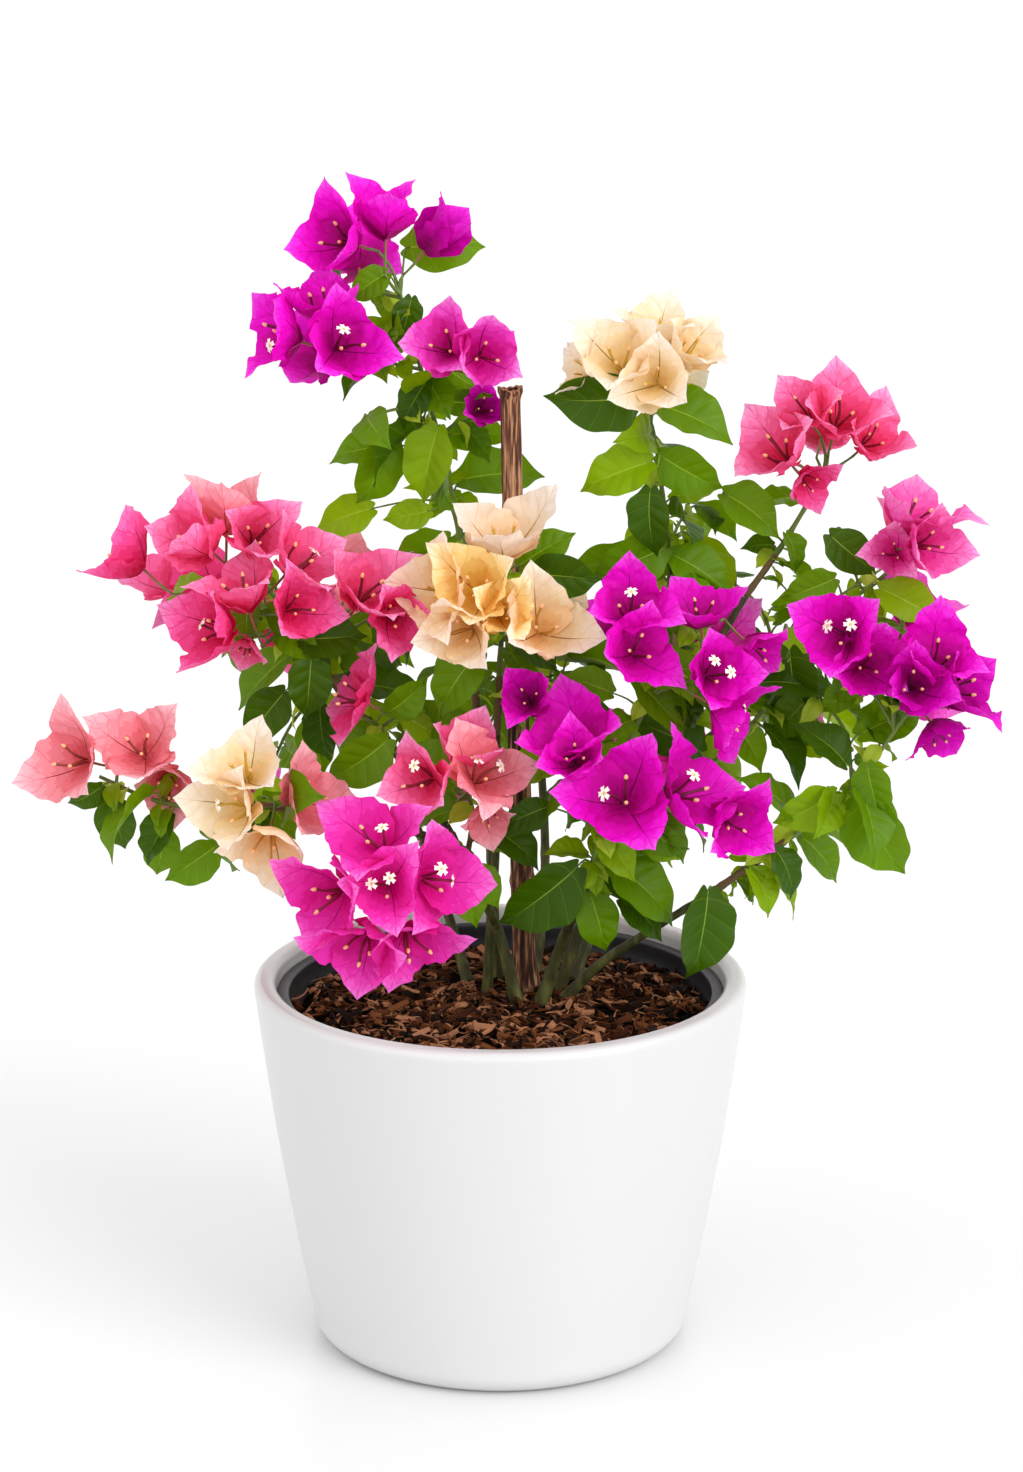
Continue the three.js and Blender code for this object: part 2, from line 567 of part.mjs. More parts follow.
// A flower: a three-sided stalk that opens into three thin bracts, joined where they meet.
function flowerGeometry({ hub, base, direction, bracts }, extra) {
  const corners = [base.clone().addScaledVector(direction, BRACT_THICKNESS / 2 + extra)];
  const ringAt = (centre, radius) => bracts.map(({ around }) => centre.clone()
    .addScaledVector(around, radius + extra));
  corners.push(...ringAt(hub, ROOT_RADIUS));
  corners.push(...ringAt(base.clone().addScaledVector(direction, -BRACT_THICKNESS - extra), STALK_RADIUS));
  bracts.forEach(({ around, along, length }, j) => {
    const seam = around.clone().add(bracts[(j + 1) % 3].around);
    corners.push(base.clone().addScaledVector(along, length + extra));
    corners.push(base.clone()
      .addScaledVector(direction, SEAM_HEIGHT * length)
      .addScaledVector(seam, SEAM_RADIUS * length + extra));
  });
  const index = [1, 3, 2];
  for (let j = 0; j < 3; j += 1) {
    const next = (j + 1) % 3;
    const [neck, neckNext] = [4 + j, 4 + next];
    const [tip, seam, tipNext] = [7 + 2 * j, 8 + 2 * j, 7 + 2 * next];
    index.push(1 + j, 1 + next, neckNext, 1 + j, neckNext, neck);
    index.push(0, tip, seam, 0, seam, tipNext);
    index.push(neck, seam, tip, neck, neckNext, seam, neckNext, tipNext, seam);
  }
  return indexed(corners.flatMap((corner) => corner.toArray()), index);
}

function solidOf(geometry) {
  const bare = geometry.clone();
  bare.deleteAttribute('normal');
  bare.deleteAttribute('uv');
  const merged = mergeVertices(bare, 1e-4);
  return new wasm.Manifold(new wasm.Mesh({
    numProp: 3,
    vertProperties: merged.attributes.position.array,
    triVerts: new Uint32Array(merged.index.array),
  }));
}

function geometryOf(solid) {
  const mesh = solid.getMesh();
  return indexed(mesh.vertProperties, Array.from(mesh.triVerts));
}

// Joins solids two by two, and keeps the largest piece of what comes out.
function fuse(solids) {
  let row = solids;
  while (row.length > 1) {
    const joined = [];
    for (let i = 0; i < row.length; i += 2) {
      joined.push(i + 1 < row.length ? row[i].add(row[i + 1]) : row[i]);
    }
    row = joined;
  }
  return largest(row[0]);
}

function largest(solid) {
  return solid.decompose().reduce((best, piece) => (piece.volume() > best.volume() ? piece : best));
}

// Radii of the pot's outer and inner wall at a height
const potOuter = (z) => mix(POT_BASE_RADIUS, POT_TOP_RADIUS, z / POT_HEIGHT)
  + POT_BOW * Math.sin((Math.PI * z) / POT_HEIGHT);
const potInner = (z) => potOuter(z) - mix(POT_WALL_AT_FOOT, POT_RIM_WIDTH, z / POT_HEIGHT);
const linerOuter = (z) => potInner(z) - LINER_SIDE_GAP;

function arc(centreX, centreY, radius, from, to, steps) {
  return Array.from({ length: steps + 1 }, (_, i) => {
    const turn = THREE.MathUtils.degToRad(mix(from, to, i / steps));
    return new THREE.Vector2(centreX + radius * Math.cos(turn), centreY + radius * Math.sin(turn));
  });
}

// Turns a profile of radius and height about the vertical axis.
function turned(profile) {
  return new THREE.LatheGeometry(profile, ROUND_FACETS).rotateX(Math.PI / 2);
}

function potGeometry() {
  const fillet = POT_FOOT_FILLET;
  const round = POT_RIM_ROUND;
  const wall = [0.35, 0.65].map((share) => share * POT_HEIGHT);
  const rimHeight = POT_HEIGHT - round;
  const profile = [
    new THREE.Vector2(0, 0),
    ...arc(potOuter(fillet) - fillet, fillet, fillet, -90, -8, 4),
    ...wall.map((z) => new THREE.Vector2(potOuter(z), z)),
    ...arc(potOuter(rimHeight) - round, rimHeight, round, 0, 90, 3),
    ...arc(potInner(rimHeight) + round, rimHeight, round, 90, 180, 3),
    ...wall.reverse().map((z) => new THREE.Vector2(potInner(z), z)),
    new THREE.Vector2(potInner(POT_FLOOR), POT_FLOOR),
    new THREE.Vector2(0, POT_FLOOR),
  ];
  return turned(profile);
}

function linerGeometry() {
  const floor = POT_FLOOR + CLEAR;
  const under = LINER_TOP - LINER_LIP_DEPTH;
  const lip = potInner(LINER_TOP) - CLEAR;
  const profile = [
    new THREE.Vector2(0, floor),
    new THREE.Vector2(linerOuter(floor), floor),
    new THREE.Vector2(linerOuter(under), under),
    new THREE.Vector2(potInner(under) - CLEAR, under),
    new THREE.Vector2(lip, LINER_TOP - 1),
    new THREE.Vector2(lip - 1, LINER_TOP),
    new THREE.Vector2(lip - LINER_LIP_WIDTH, LINER_TOP),
    new THREE.Vector2(linerOuter(under) - LINER_WALL, under),
    new THREE.Vector2(linerOuter(floor) - LINER_WALL, floor + LINER_WALL),
    new THREE.Vector2(0, floor + LINER_WALL),
  ];
  return turned(profile);
}

function mulchGeometry() {
  const floor = POT_FLOOR + 2 * CLEAR + LINER_WALL;
  const inside = (z) => linerOuter(z) - LINER_WALL - 2 * CLEAR;
  const edge = MULCH_TOP - MULCH_EDGE_DROP;
  const profile = [
    new THREE.Vector2(0, floor),
    new THREE.Vector2(inside(floor) - 1, floor),
    new THREE.Vector2(inside(edge) - 1, edge),
    new THREE.Vector2(MULCH_FLAT_RADIUS, MULCH_TOP),
    new THREE.Vector2(0, MULCH_TOP),
  ];
  return turned(profile);
}

// A limb's radius at a share of its way, wider over the last stretch above its foot.
function limbRadius(limb, length) {
  const flare = limb.flare ?? 0;
  return (share) => mix(limb.radius[0], limb.radius[1], share) + flare * Math.exp((-share * length) / 12);
}

// A limb keeps clear of the one that it forks from, and stands just clear of the mulch.
function growLimb(limb, grown) {
  const places = limb.route.map(vector);
  if (!limb.from) places[0].z += CLEAR;
  const way = new Way(places);
  const radiusAt = limbRadius(limb, way.length);
  const sides = limb.sides ?? 6;
  const points = way.points.filter((_, i) => i % 4 === 0);
  const made = (extra) => solidOf(tube(points, (share) => radiusAt(share) + extra, sides, !limb.from));
  let solid = made(0);
  if (limb.from) solid = largest(solid.subtract(grown.get(limb.from).wide));
  return { way, solid, wide: made(CLEAR), tipRadius: limb.radius[1] };
}

// Where a leaf goes that leaves its twig at root: its blade droops, and faces up and out of the crown.
function leafOn(root, heading, turn, length, random) {
  const side = across(heading, turn);
  const rise = 0.1 + 0.4 * random();
  const droop = 0.5 + 0.8 * random();
  const size = length * (0.75 + 0.4 * random());
  const roll = 0.7 * (random() - 0.5);
  const away = side.clone().addScaledVector(heading, 0.5).addScaledVector(UP, rise).normalize();
  const foot = root.clone().addScaledVector(away, size * PETIOLE_SHARE);
  const along = away.clone().addScaledVector(UP, -droop).normalize();
  const outward = new THREE.Vector3(SIDEWAYS * foot.x, foot.y - CROWN_MIDDLE, 0).normalize();
  const face = outward.addScaledVector(UP, LEAF_FACE_UP);
  face.addScaledVector(new THREE.Vector3().crossVectors(along, face).normalize(), roll);
  return { root, foot, along, face: squared(face, along), length: size };
}

// A leaf set by its foot and tip, facing the front.
function leafFrom(root, foot, tip) {
  const along = tip.clone().sub(foot);
  const length = along.length();
  along.normalize();
  return { root, foot, along, face: squared(FRONT_FACE, along), length };
}

// Leaves set singly along a way, each turned by the golden angle from the last.
function leavesAlong(way, from, spacing, length, random) {
  const count = Math.floor((way.length - from) / spacing);
  return Array.from({ length: count }, (_, i) => {
    const distance = from + (i + 0.5) * spacing;
    const turn = i * GOLDEN_TURN + 0.8 * random();
    return leafOn(way.at(distance), way.heading(distance), turn, length, random);
  });
}

// The directions in which a head's flowers stand out from its hub.
function flowerDirections(aim, count, turn) {
  if (count === 1) return [aim.clone()];
  return Array.from({ length: count }, (_, i) => {
    const around = across(aim, turn + (2 * Math.PI * i) / count);
    return leaned(aim, around, FLOWER_SPREAD);
  });
}

// A flower on its stalk, with three bracts open round it, turned and opened as its head says.
function flowerAt(hub, aim, direction, size, head, random) {
  const base = hub.clone().addScaledVector(direction, FLOWER_REACH * size);
  const drawn = 360 * random();
  const turn = THREE.MathUtils.degToRad(head.turn ?? drawn);
  const bracts = Array.from({ length: 3 }, (_, i) => {
    const opened = (head.open ?? BRACT_OPEN) + BRACT_OPEN_VARIES * (random() - 0.5);
    const open = THREE.MathUtils.degToRad(opened);
    const length = BRACT_LENGTH * size * (0.9 + 0.2 * random());
    const around = across(direction, turn + (2 * Math.PI * i) / 3);
    return { around, along: leaned(direction, around, open), length };
  });
  return { hub: hub.clone().addScaledVector(aim, -ROOT_DEPTH), base, direction, bracts };
}

// A twig that leaves a way at a distance along it and curves round to face aim at its end.
function twigTo(way, distance, end, aim) {
  const start = way.at(distance);
  const gap = end.distanceTo(start);
  const middle = start.clone().lerp(end, 0.5)
    .addScaledVector(way.heading(distance), 0.12 * gap)
    .addScaledVector(aim, -0.12 * gap);
  return new Way([start, middle, end]);
}

// Everything in a spray. All numbers are drawn here, before any piece is made or left out.
function planSpray(spray, stem) {
  const random = seeded(spray.seed);
  const leafLength = spray.leaf ?? LEAF_LENGTH;
  const plan = { twigs: [], leaves: leavesAlong(stem, 4, LEAF_SPACING, leafLength, random), flowers: [] };
  const sideTwigs = spray.twigs ?? 0;
  for (let i = 0; i < sideTwigs; i += 1) {
    const distance = (stem.length * (i + 0.6)) / (sideTwigs + 0.4);
    const side = across(stem.heading(distance), i * GOLDEN_TURN + 2 * random());
    const reach = 45 + 30 * random();
    const end = stem.at(distance).addScaledVector(side, reach).addScaledVector(UP, reach * 0.5);
    const twig = twigTo(stem, distance, end, side);
    const leaves = leavesAlong(twig, 6, TWIG_LEAF_SPACING, leafLength, random);
    plan.twigs.push({ way: twig, leaves, flowers: [] });
  }
  for (const head of spray.heads) {
    const aim = vector(head.aim).normalize();
    const size = head.size ?? 1;
    const hub = vector(head.at).addScaledVector(aim, -(FLOWER_REACH + HEAD_DEPTH) * size);
    const near = stem.nearest(hub);
    const distance = Math.max(near - 0.25 * stem.at(near).distanceTo(hub), head.start ?? 1);
    const twig = twigTo(stem, distance, hub, aim);
    const leaves = leavesAlong(twig, 4, TWIG_LEAF_SPACING, leafLength * 0.95, random);
    const turn = 2 * Math.PI * random();
    const flowers = flowerDirections(aim, head.flowers ?? 1, turn)
      .map((direction) => flowerAt(hub, aim, direction, size, head, random));
    plan.twigs.push({ way: twig, leaves, flowers });
  }
  for (const { foot, tip } of spray.leaves ?? []) {
    const start = vector(foot);
    const root = stem.at(stem.nearest(start) - 6);
    plan.leaves.push(leafFrom(root, start, vector(tip)));
  }
  return plan;
}

function twigSolid(points, from, to, extra) {
  return solidOf(tube(points, (share) => mix(from, to, share) + extra, 3));
}

function boxesMeet(a, b) {
  return [0, 1, 2].every((axis) => a.min[axis] <= b.max[axis] && b.min[axis] <= a.max[axis]);
}

// A spray is one solid. A twig, leaf or flower that would touch an earlier piece is left out.
function growSpray(spray, grown, placed) {
  const limb = grown.get(spray.from);
  const length = limb.way.length;
  const atTip = spray.on === undefined;
  const heading = limb.way.heading(length);
  const start = atTip
    ? limb.way.at(length).addScaledVector(heading, CLEAR)
    : limb.way.at(length * spray.on);
  const stem = new Way([start, ...spray.route.map(vector)]);
  const stemRadius = atTip ? limb.tipRadius : TWIG_RADIUS;
  const rings = stem.points.filter((_, i) => i % 4 === 0);
  let stemSolid = twigSolid(rings, stemRadius, TWIG_RADIUS, 0);
  if (atTip) stemSolid = stemSolid.subtract(limb.wide);
  else stemSolid = largest(stemSolid.subtract(limb.wide));

  const kept = [stemSolid];
  const crossed = [];
  const fence = (solid) => crossed.push({ body: solid, bounds: solid.boundingBox() });
  const meets = (solid, others) => {
    const box = solid.boundingBox();
    return others.some(({ body, bounds }) => boxesMeet(box, bounds) && !body.intersect(solid).isEmpty());
  };
  const added = (make) => {
    if (meets(make(CLEAR), placed)) return null;
    const solid = make(0);
    kept.push(solid);
    return solid;
  };
  const addFenced = (make) => {
    const solid = added(make);
    if (solid) fence(solid);
  };
  const addLeaf = (leaf) => {
    const make = (extra) => solidOf(leafGeometry(leaf, extra));
    if (!meets(make(0), crossed)) addFenced(make);
  };
  const plan = planSpray(spray, stem);
  plan.leaves.forEach(addLeaf);
  fence(stemSolid);
  for (const twig of plan.twigs) {
    const stride = twig.way.length < SHORT_TWIG ? 2 * SPAN_STEPS : SPAN_STEPS;
    const points = twig.way.points.filter((_, i) => i % stride === 0);
    const twigBody = added((extra) => twigSolid(points, TWIG_RADIUS, TWIG_TIP_RADIUS, extra));
    if (!twigBody) continue;
    twig.flowers.forEach((flower) => addFenced((extra) => solidOf(flowerGeometry(flower, extra))));
    twig.leaves.forEach(addLeaf);
    fence(twigBody);
  }
  return fuse(kept);
}

function named(name, geometry, settings) {
  const mesh = new THREE.Mesh(geometry, new THREE.MeshStandardMaterial(settings));
  mesh.name = name;
  return mesh;
}

function build() {
  const plant = new THREE.Group();
  plant.add(named('pot', potGeometry(), { color: COLOURS.glaze, roughness: 0.15, metalness: 0 }));
  plant.add(named('liner', linerGeometry(), { color: COLOURS.liner, roughness: 0.5, metalness: 0 }));
  plant.add(named('mulch', mulchGeometry(), { color: COLOURS.mulch, roughness: 0.95, metalness: 0 }));

  const placed = [];
  const place = (body) => placed.push({ body, bounds: body.boundingBox() });
  plant.children.forEach((mesh) => place(solidOf(mesh.geometry)));

  const grown = new Map();
  for (const limb of LIMBS) {
    const made = growLimb(limb, grown);
    grown.set(limb.name, made);
    place(made.solid);
    const color = limb.name === 'trunk_cut_back' ? COLOURS.oldBark : COLOURS.youngBark;
    plant.add(named(limb.name, geometryOf(made.solid), { color, roughness: 0.85, metalness: 0 }));
  }
  for (const spray of SPRAYS) {
    const body = growSpray(spray, grown, placed);
    place(body);
    const color = COLOURS[spray.tint];
    plant.add(named(spray.name, geometryOf(body), { color, roughness: 0.6, metalness: 0 }));
  }
  return plant;
}

export default build();
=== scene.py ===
import math

import bpy
import numpy as np
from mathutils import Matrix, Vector


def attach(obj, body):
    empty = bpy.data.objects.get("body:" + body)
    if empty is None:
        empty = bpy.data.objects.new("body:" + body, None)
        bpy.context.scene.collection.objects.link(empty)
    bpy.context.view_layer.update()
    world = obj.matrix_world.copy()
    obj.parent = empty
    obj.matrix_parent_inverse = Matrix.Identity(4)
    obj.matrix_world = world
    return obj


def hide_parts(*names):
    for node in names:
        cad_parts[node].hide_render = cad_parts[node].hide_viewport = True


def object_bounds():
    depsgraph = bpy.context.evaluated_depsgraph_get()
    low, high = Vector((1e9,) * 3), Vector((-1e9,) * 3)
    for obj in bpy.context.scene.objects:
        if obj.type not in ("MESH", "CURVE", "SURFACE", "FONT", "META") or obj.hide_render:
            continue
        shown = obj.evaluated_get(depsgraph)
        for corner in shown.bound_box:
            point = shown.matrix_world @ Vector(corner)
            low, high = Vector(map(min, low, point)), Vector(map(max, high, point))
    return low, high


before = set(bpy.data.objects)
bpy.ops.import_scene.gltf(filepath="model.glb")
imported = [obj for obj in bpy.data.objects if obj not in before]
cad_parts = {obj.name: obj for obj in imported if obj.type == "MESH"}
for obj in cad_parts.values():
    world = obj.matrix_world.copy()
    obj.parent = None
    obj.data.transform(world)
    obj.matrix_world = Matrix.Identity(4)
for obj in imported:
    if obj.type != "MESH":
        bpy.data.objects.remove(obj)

CAD_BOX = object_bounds()

# Sizes are in millimetres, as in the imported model's source, and turn into metres where a mesh is made.
# A pair that vary() takes holds its least value and what chance may add.
MM = 0.001

# Pot, inner pot and mulch
POT_HEIGHT = 227.5
POT_TOP_RADIUS = 150
POT_BASE_RADIUS = 113
POT_BOW = 2.5
POT_FOOT_FILLET = 16
POT_RIM_WIDTH = 13.5
POT_RIM_ROUND = 5
POT_WALL_AT_FOOT = 10
POT_FLOOR = 10
LINER_TOP = POT_HEIGHT - 9
LINER_LIP_WIDTH = 7
LINER_LIP_DEPTH = 5
LINER_WALL = 2.2
LINER_SIDE_GAP = 4
MULCH_TOP = 207
CLEAR = 0.3
ROUND_STEPS = 160
POT_SIDE_STEPS = 14
POT_FOOT_DEGREES = (-90, -8)
POT_ARC_STEPS = 10
RIM_ARC_STEPS = 8
LIP_ARC_STEPS = 4
LIP_BEVEL = 1.2
LIP_BEVEL_MIDDLE = 0.4
LIP_ROUND = 1.5
LINER_BELOW_MULCH = 12
LINER_TAPER = 1.2

# Foliage and blossom: the same rule as the solids
SPAN_STEPS = 8
LEAF_SPACING = 40
TWIG_LEAF_SPACING = 34
LEAF_LENGTH = 46
LEAF_WIDTH = 0.66
PETIOLE_SHARE = 0.22
BRACT_LENGTH = 45
BRACT_WIDTH = 0.86
BRACT_OPEN = 42
BRACT_OPEN_VARIES = 12
TUBE_LENGTH = 19
FLOWER_REACH = 24
FLOWER_SPREAD = math.radians(46)
HEAD_DEPTH = 12
GOLDEN_TURN = math.pi * (3 - math.sqrt(5))
UP = Vector((0, 0, 1))
RANDOM_FACTOR = 48271
RANDOM_RANGE = 2147483647
NEAR_X_AXIS = 0.9
LEAF_RISE = (0.1, 0.4)
LEAF_DROOP = (0.5, 0.8)
LEAF_SIZE = (0.75, 0.4)
LEAF_ROLL_VARIES = 0.7
LEAF_TURN_VARIES = 0.8
LEAF_LEAN = 0.5
BRACT_SIZE = (0.9, 0.2)
STEM_BARE = 4
SIDE_TWIG_FROM = 0.6
SIDE_TWIG_BEYOND = 0.4
SIDE_TWIG_BARE = 6
SIDE_TWIG_REACH = (45, 30)
SIDE_TWIG_TURN_VARIES = 2
SIDE_TWIG_RISE = 0.5
TWIG_BOW = 0.12
TWIG_BACK = 0.25
HEAD_LEAF_SIZE = 0.95
PETIOLE_BACK = 6
CROWN_MIDDLE = 35
SIDEWAYS = 0.35
LEAF_FACE_UP = 0.9
FRONT_FACE = Vector((0, -1, 0.45))

# Photo camera: image size in pixels, focal length in those pixels, place and turn
IMAGE_HEIGHT = 1472
FOCAL_PIXELS = 3947
SENSOR = 36
CAMERA_PLACE = (0, -2.28202, 0.97073)
CAMERA_PITCH = math.radians(14.595)
CAMERA_YAW = math.radians(0.170)


def branch(name, radius, route, flare=0):
    """The trunk or a bough: its radius at its foot and end, its route, and how much its foot flares."""
    return dict(name=name, radius=radius, route=route, flare=flare)


LIMBS = [
    branch("trunk_cut_back", (7.2, 6),
           [(15, 36, MULCH_TOP), (12, 33, 330), (9, 29, 460), (6, 26, 582)], 3.2),
    branch("bough_left", (4, 2.4),
           [(10, 10, MULCH_TOP), (-1, 5, 252), (-17, 2, 289), (-42, 6, 335), (-74, 8, 378)], 1.4),
    branch("bough_centre", (3.4, 2.4),
           [(-8, 26, MULCH_TOP), (-6, 20, 250), (-3, 12, 296), (-2, 8, 340), (-2, 5, 376)], 1),
    branch("bough_front_right", (4.3, 2.8),
           [(25, 6, MULCH_TOP), (36, -4, 245), (46, -20, 275), (57, -32, 304)], 1.6),
    branch("bough_low_right", (3.6, 2.4),
           [(39, 12, MULCH_TOP), (58, 4, 230), (84, -8, 253), (127, -20, 285)], 1.4),
    branch("bough_upper_left", (3.6, 2.8), [(-2, 52, MULCH_TOP), (-6, 58, 290), (-14, 62, 371)], 1),
    branch("bough_upper_right", (3.8, 2.6),
           [(36, 30, MULCH_TOP), (48, 30, 245), (66, 31, 300), (88, 33, 350), (101, 35, 395)], 1.2),
    branch("bough_back_left", (3.6, 2.5),
           [(-20, 46, MULCH_TOP), (-38, 68, 262), (-64, 92, 322), (-96, 108, 372)], 1),
    branch("bough_back", (3.6, 2.5),
           [(22, 62, MULCH_TOP), (28, 86, 265), (26, 106, 325), (20, 116, 378)], 1),
    branch("bough_back_right", (3.6, 2.5),
           [(46, 50, MULCH_TOP), (66, 70, 258), (98, 92, 308), (132, 106, 346)], 1),
    branch("bough_front", (3, 2.2), [(-2, 4.4, 255), (-10, -18, 283), (-20, -40, 308), (-28, -56, 332)]),
    branch("bough_far_left", (2.8, 2.2),
           [(-24, 2.6, 303), (-46, -10, 318), (-74, -28, 328), (-102, -46, 334)]),
    branch("bough_right", (3, 2.2), [(88, 33, 350), (106, 40, 378), (126, 46, 412), (148, 50, 450)]),
    branch("bough_far_right", (2.4, 1.9), [(110, 41, 385), (136, 40, 402), (162, 38, 418), (184, 32, 437)]),
]


def mass(name, side, seed, limb, route, heads, leaves=(), leaf=LEAF_LENGTH, twigs=0, on=None):
    """A mass of foliage: its seed, the limb it grows from, its stem's route, its heads of blossom, and the
    leaves that are set by foot and tip.

    side says which joined pieces it goes into, leaf is the length of its other leaves, twigs its number of
    leafy side twigs, and on the share of the limb's length at which its stem leaves, which is else its tip.
    """
    return dict(name=name, side=side, seed=seed, limb=limb, route=route, heads=heads, leaves=leaves,
                leaf=leaf, twigs=twigs, on=on)


def head(at, aim, tint, size=1, turn=None, opened=BRACT_OPEN, stars=(), flowers=1, start=1):
    """A head of blossom by its middle, the way it faces, its colour and its size.

    turn and opened say in degrees how its bracts stand, stars which of its tube flowers are open, flowers
    how many flowers it has, and start how far up the stem its twig leaves at the least.
    """
    return dict(at=Vector(at), aim=Vector(aim).normalized(), tint=tint, size=size, turn=turn, opened=opened,
                stars=stars, flowers=flowers, start=start)


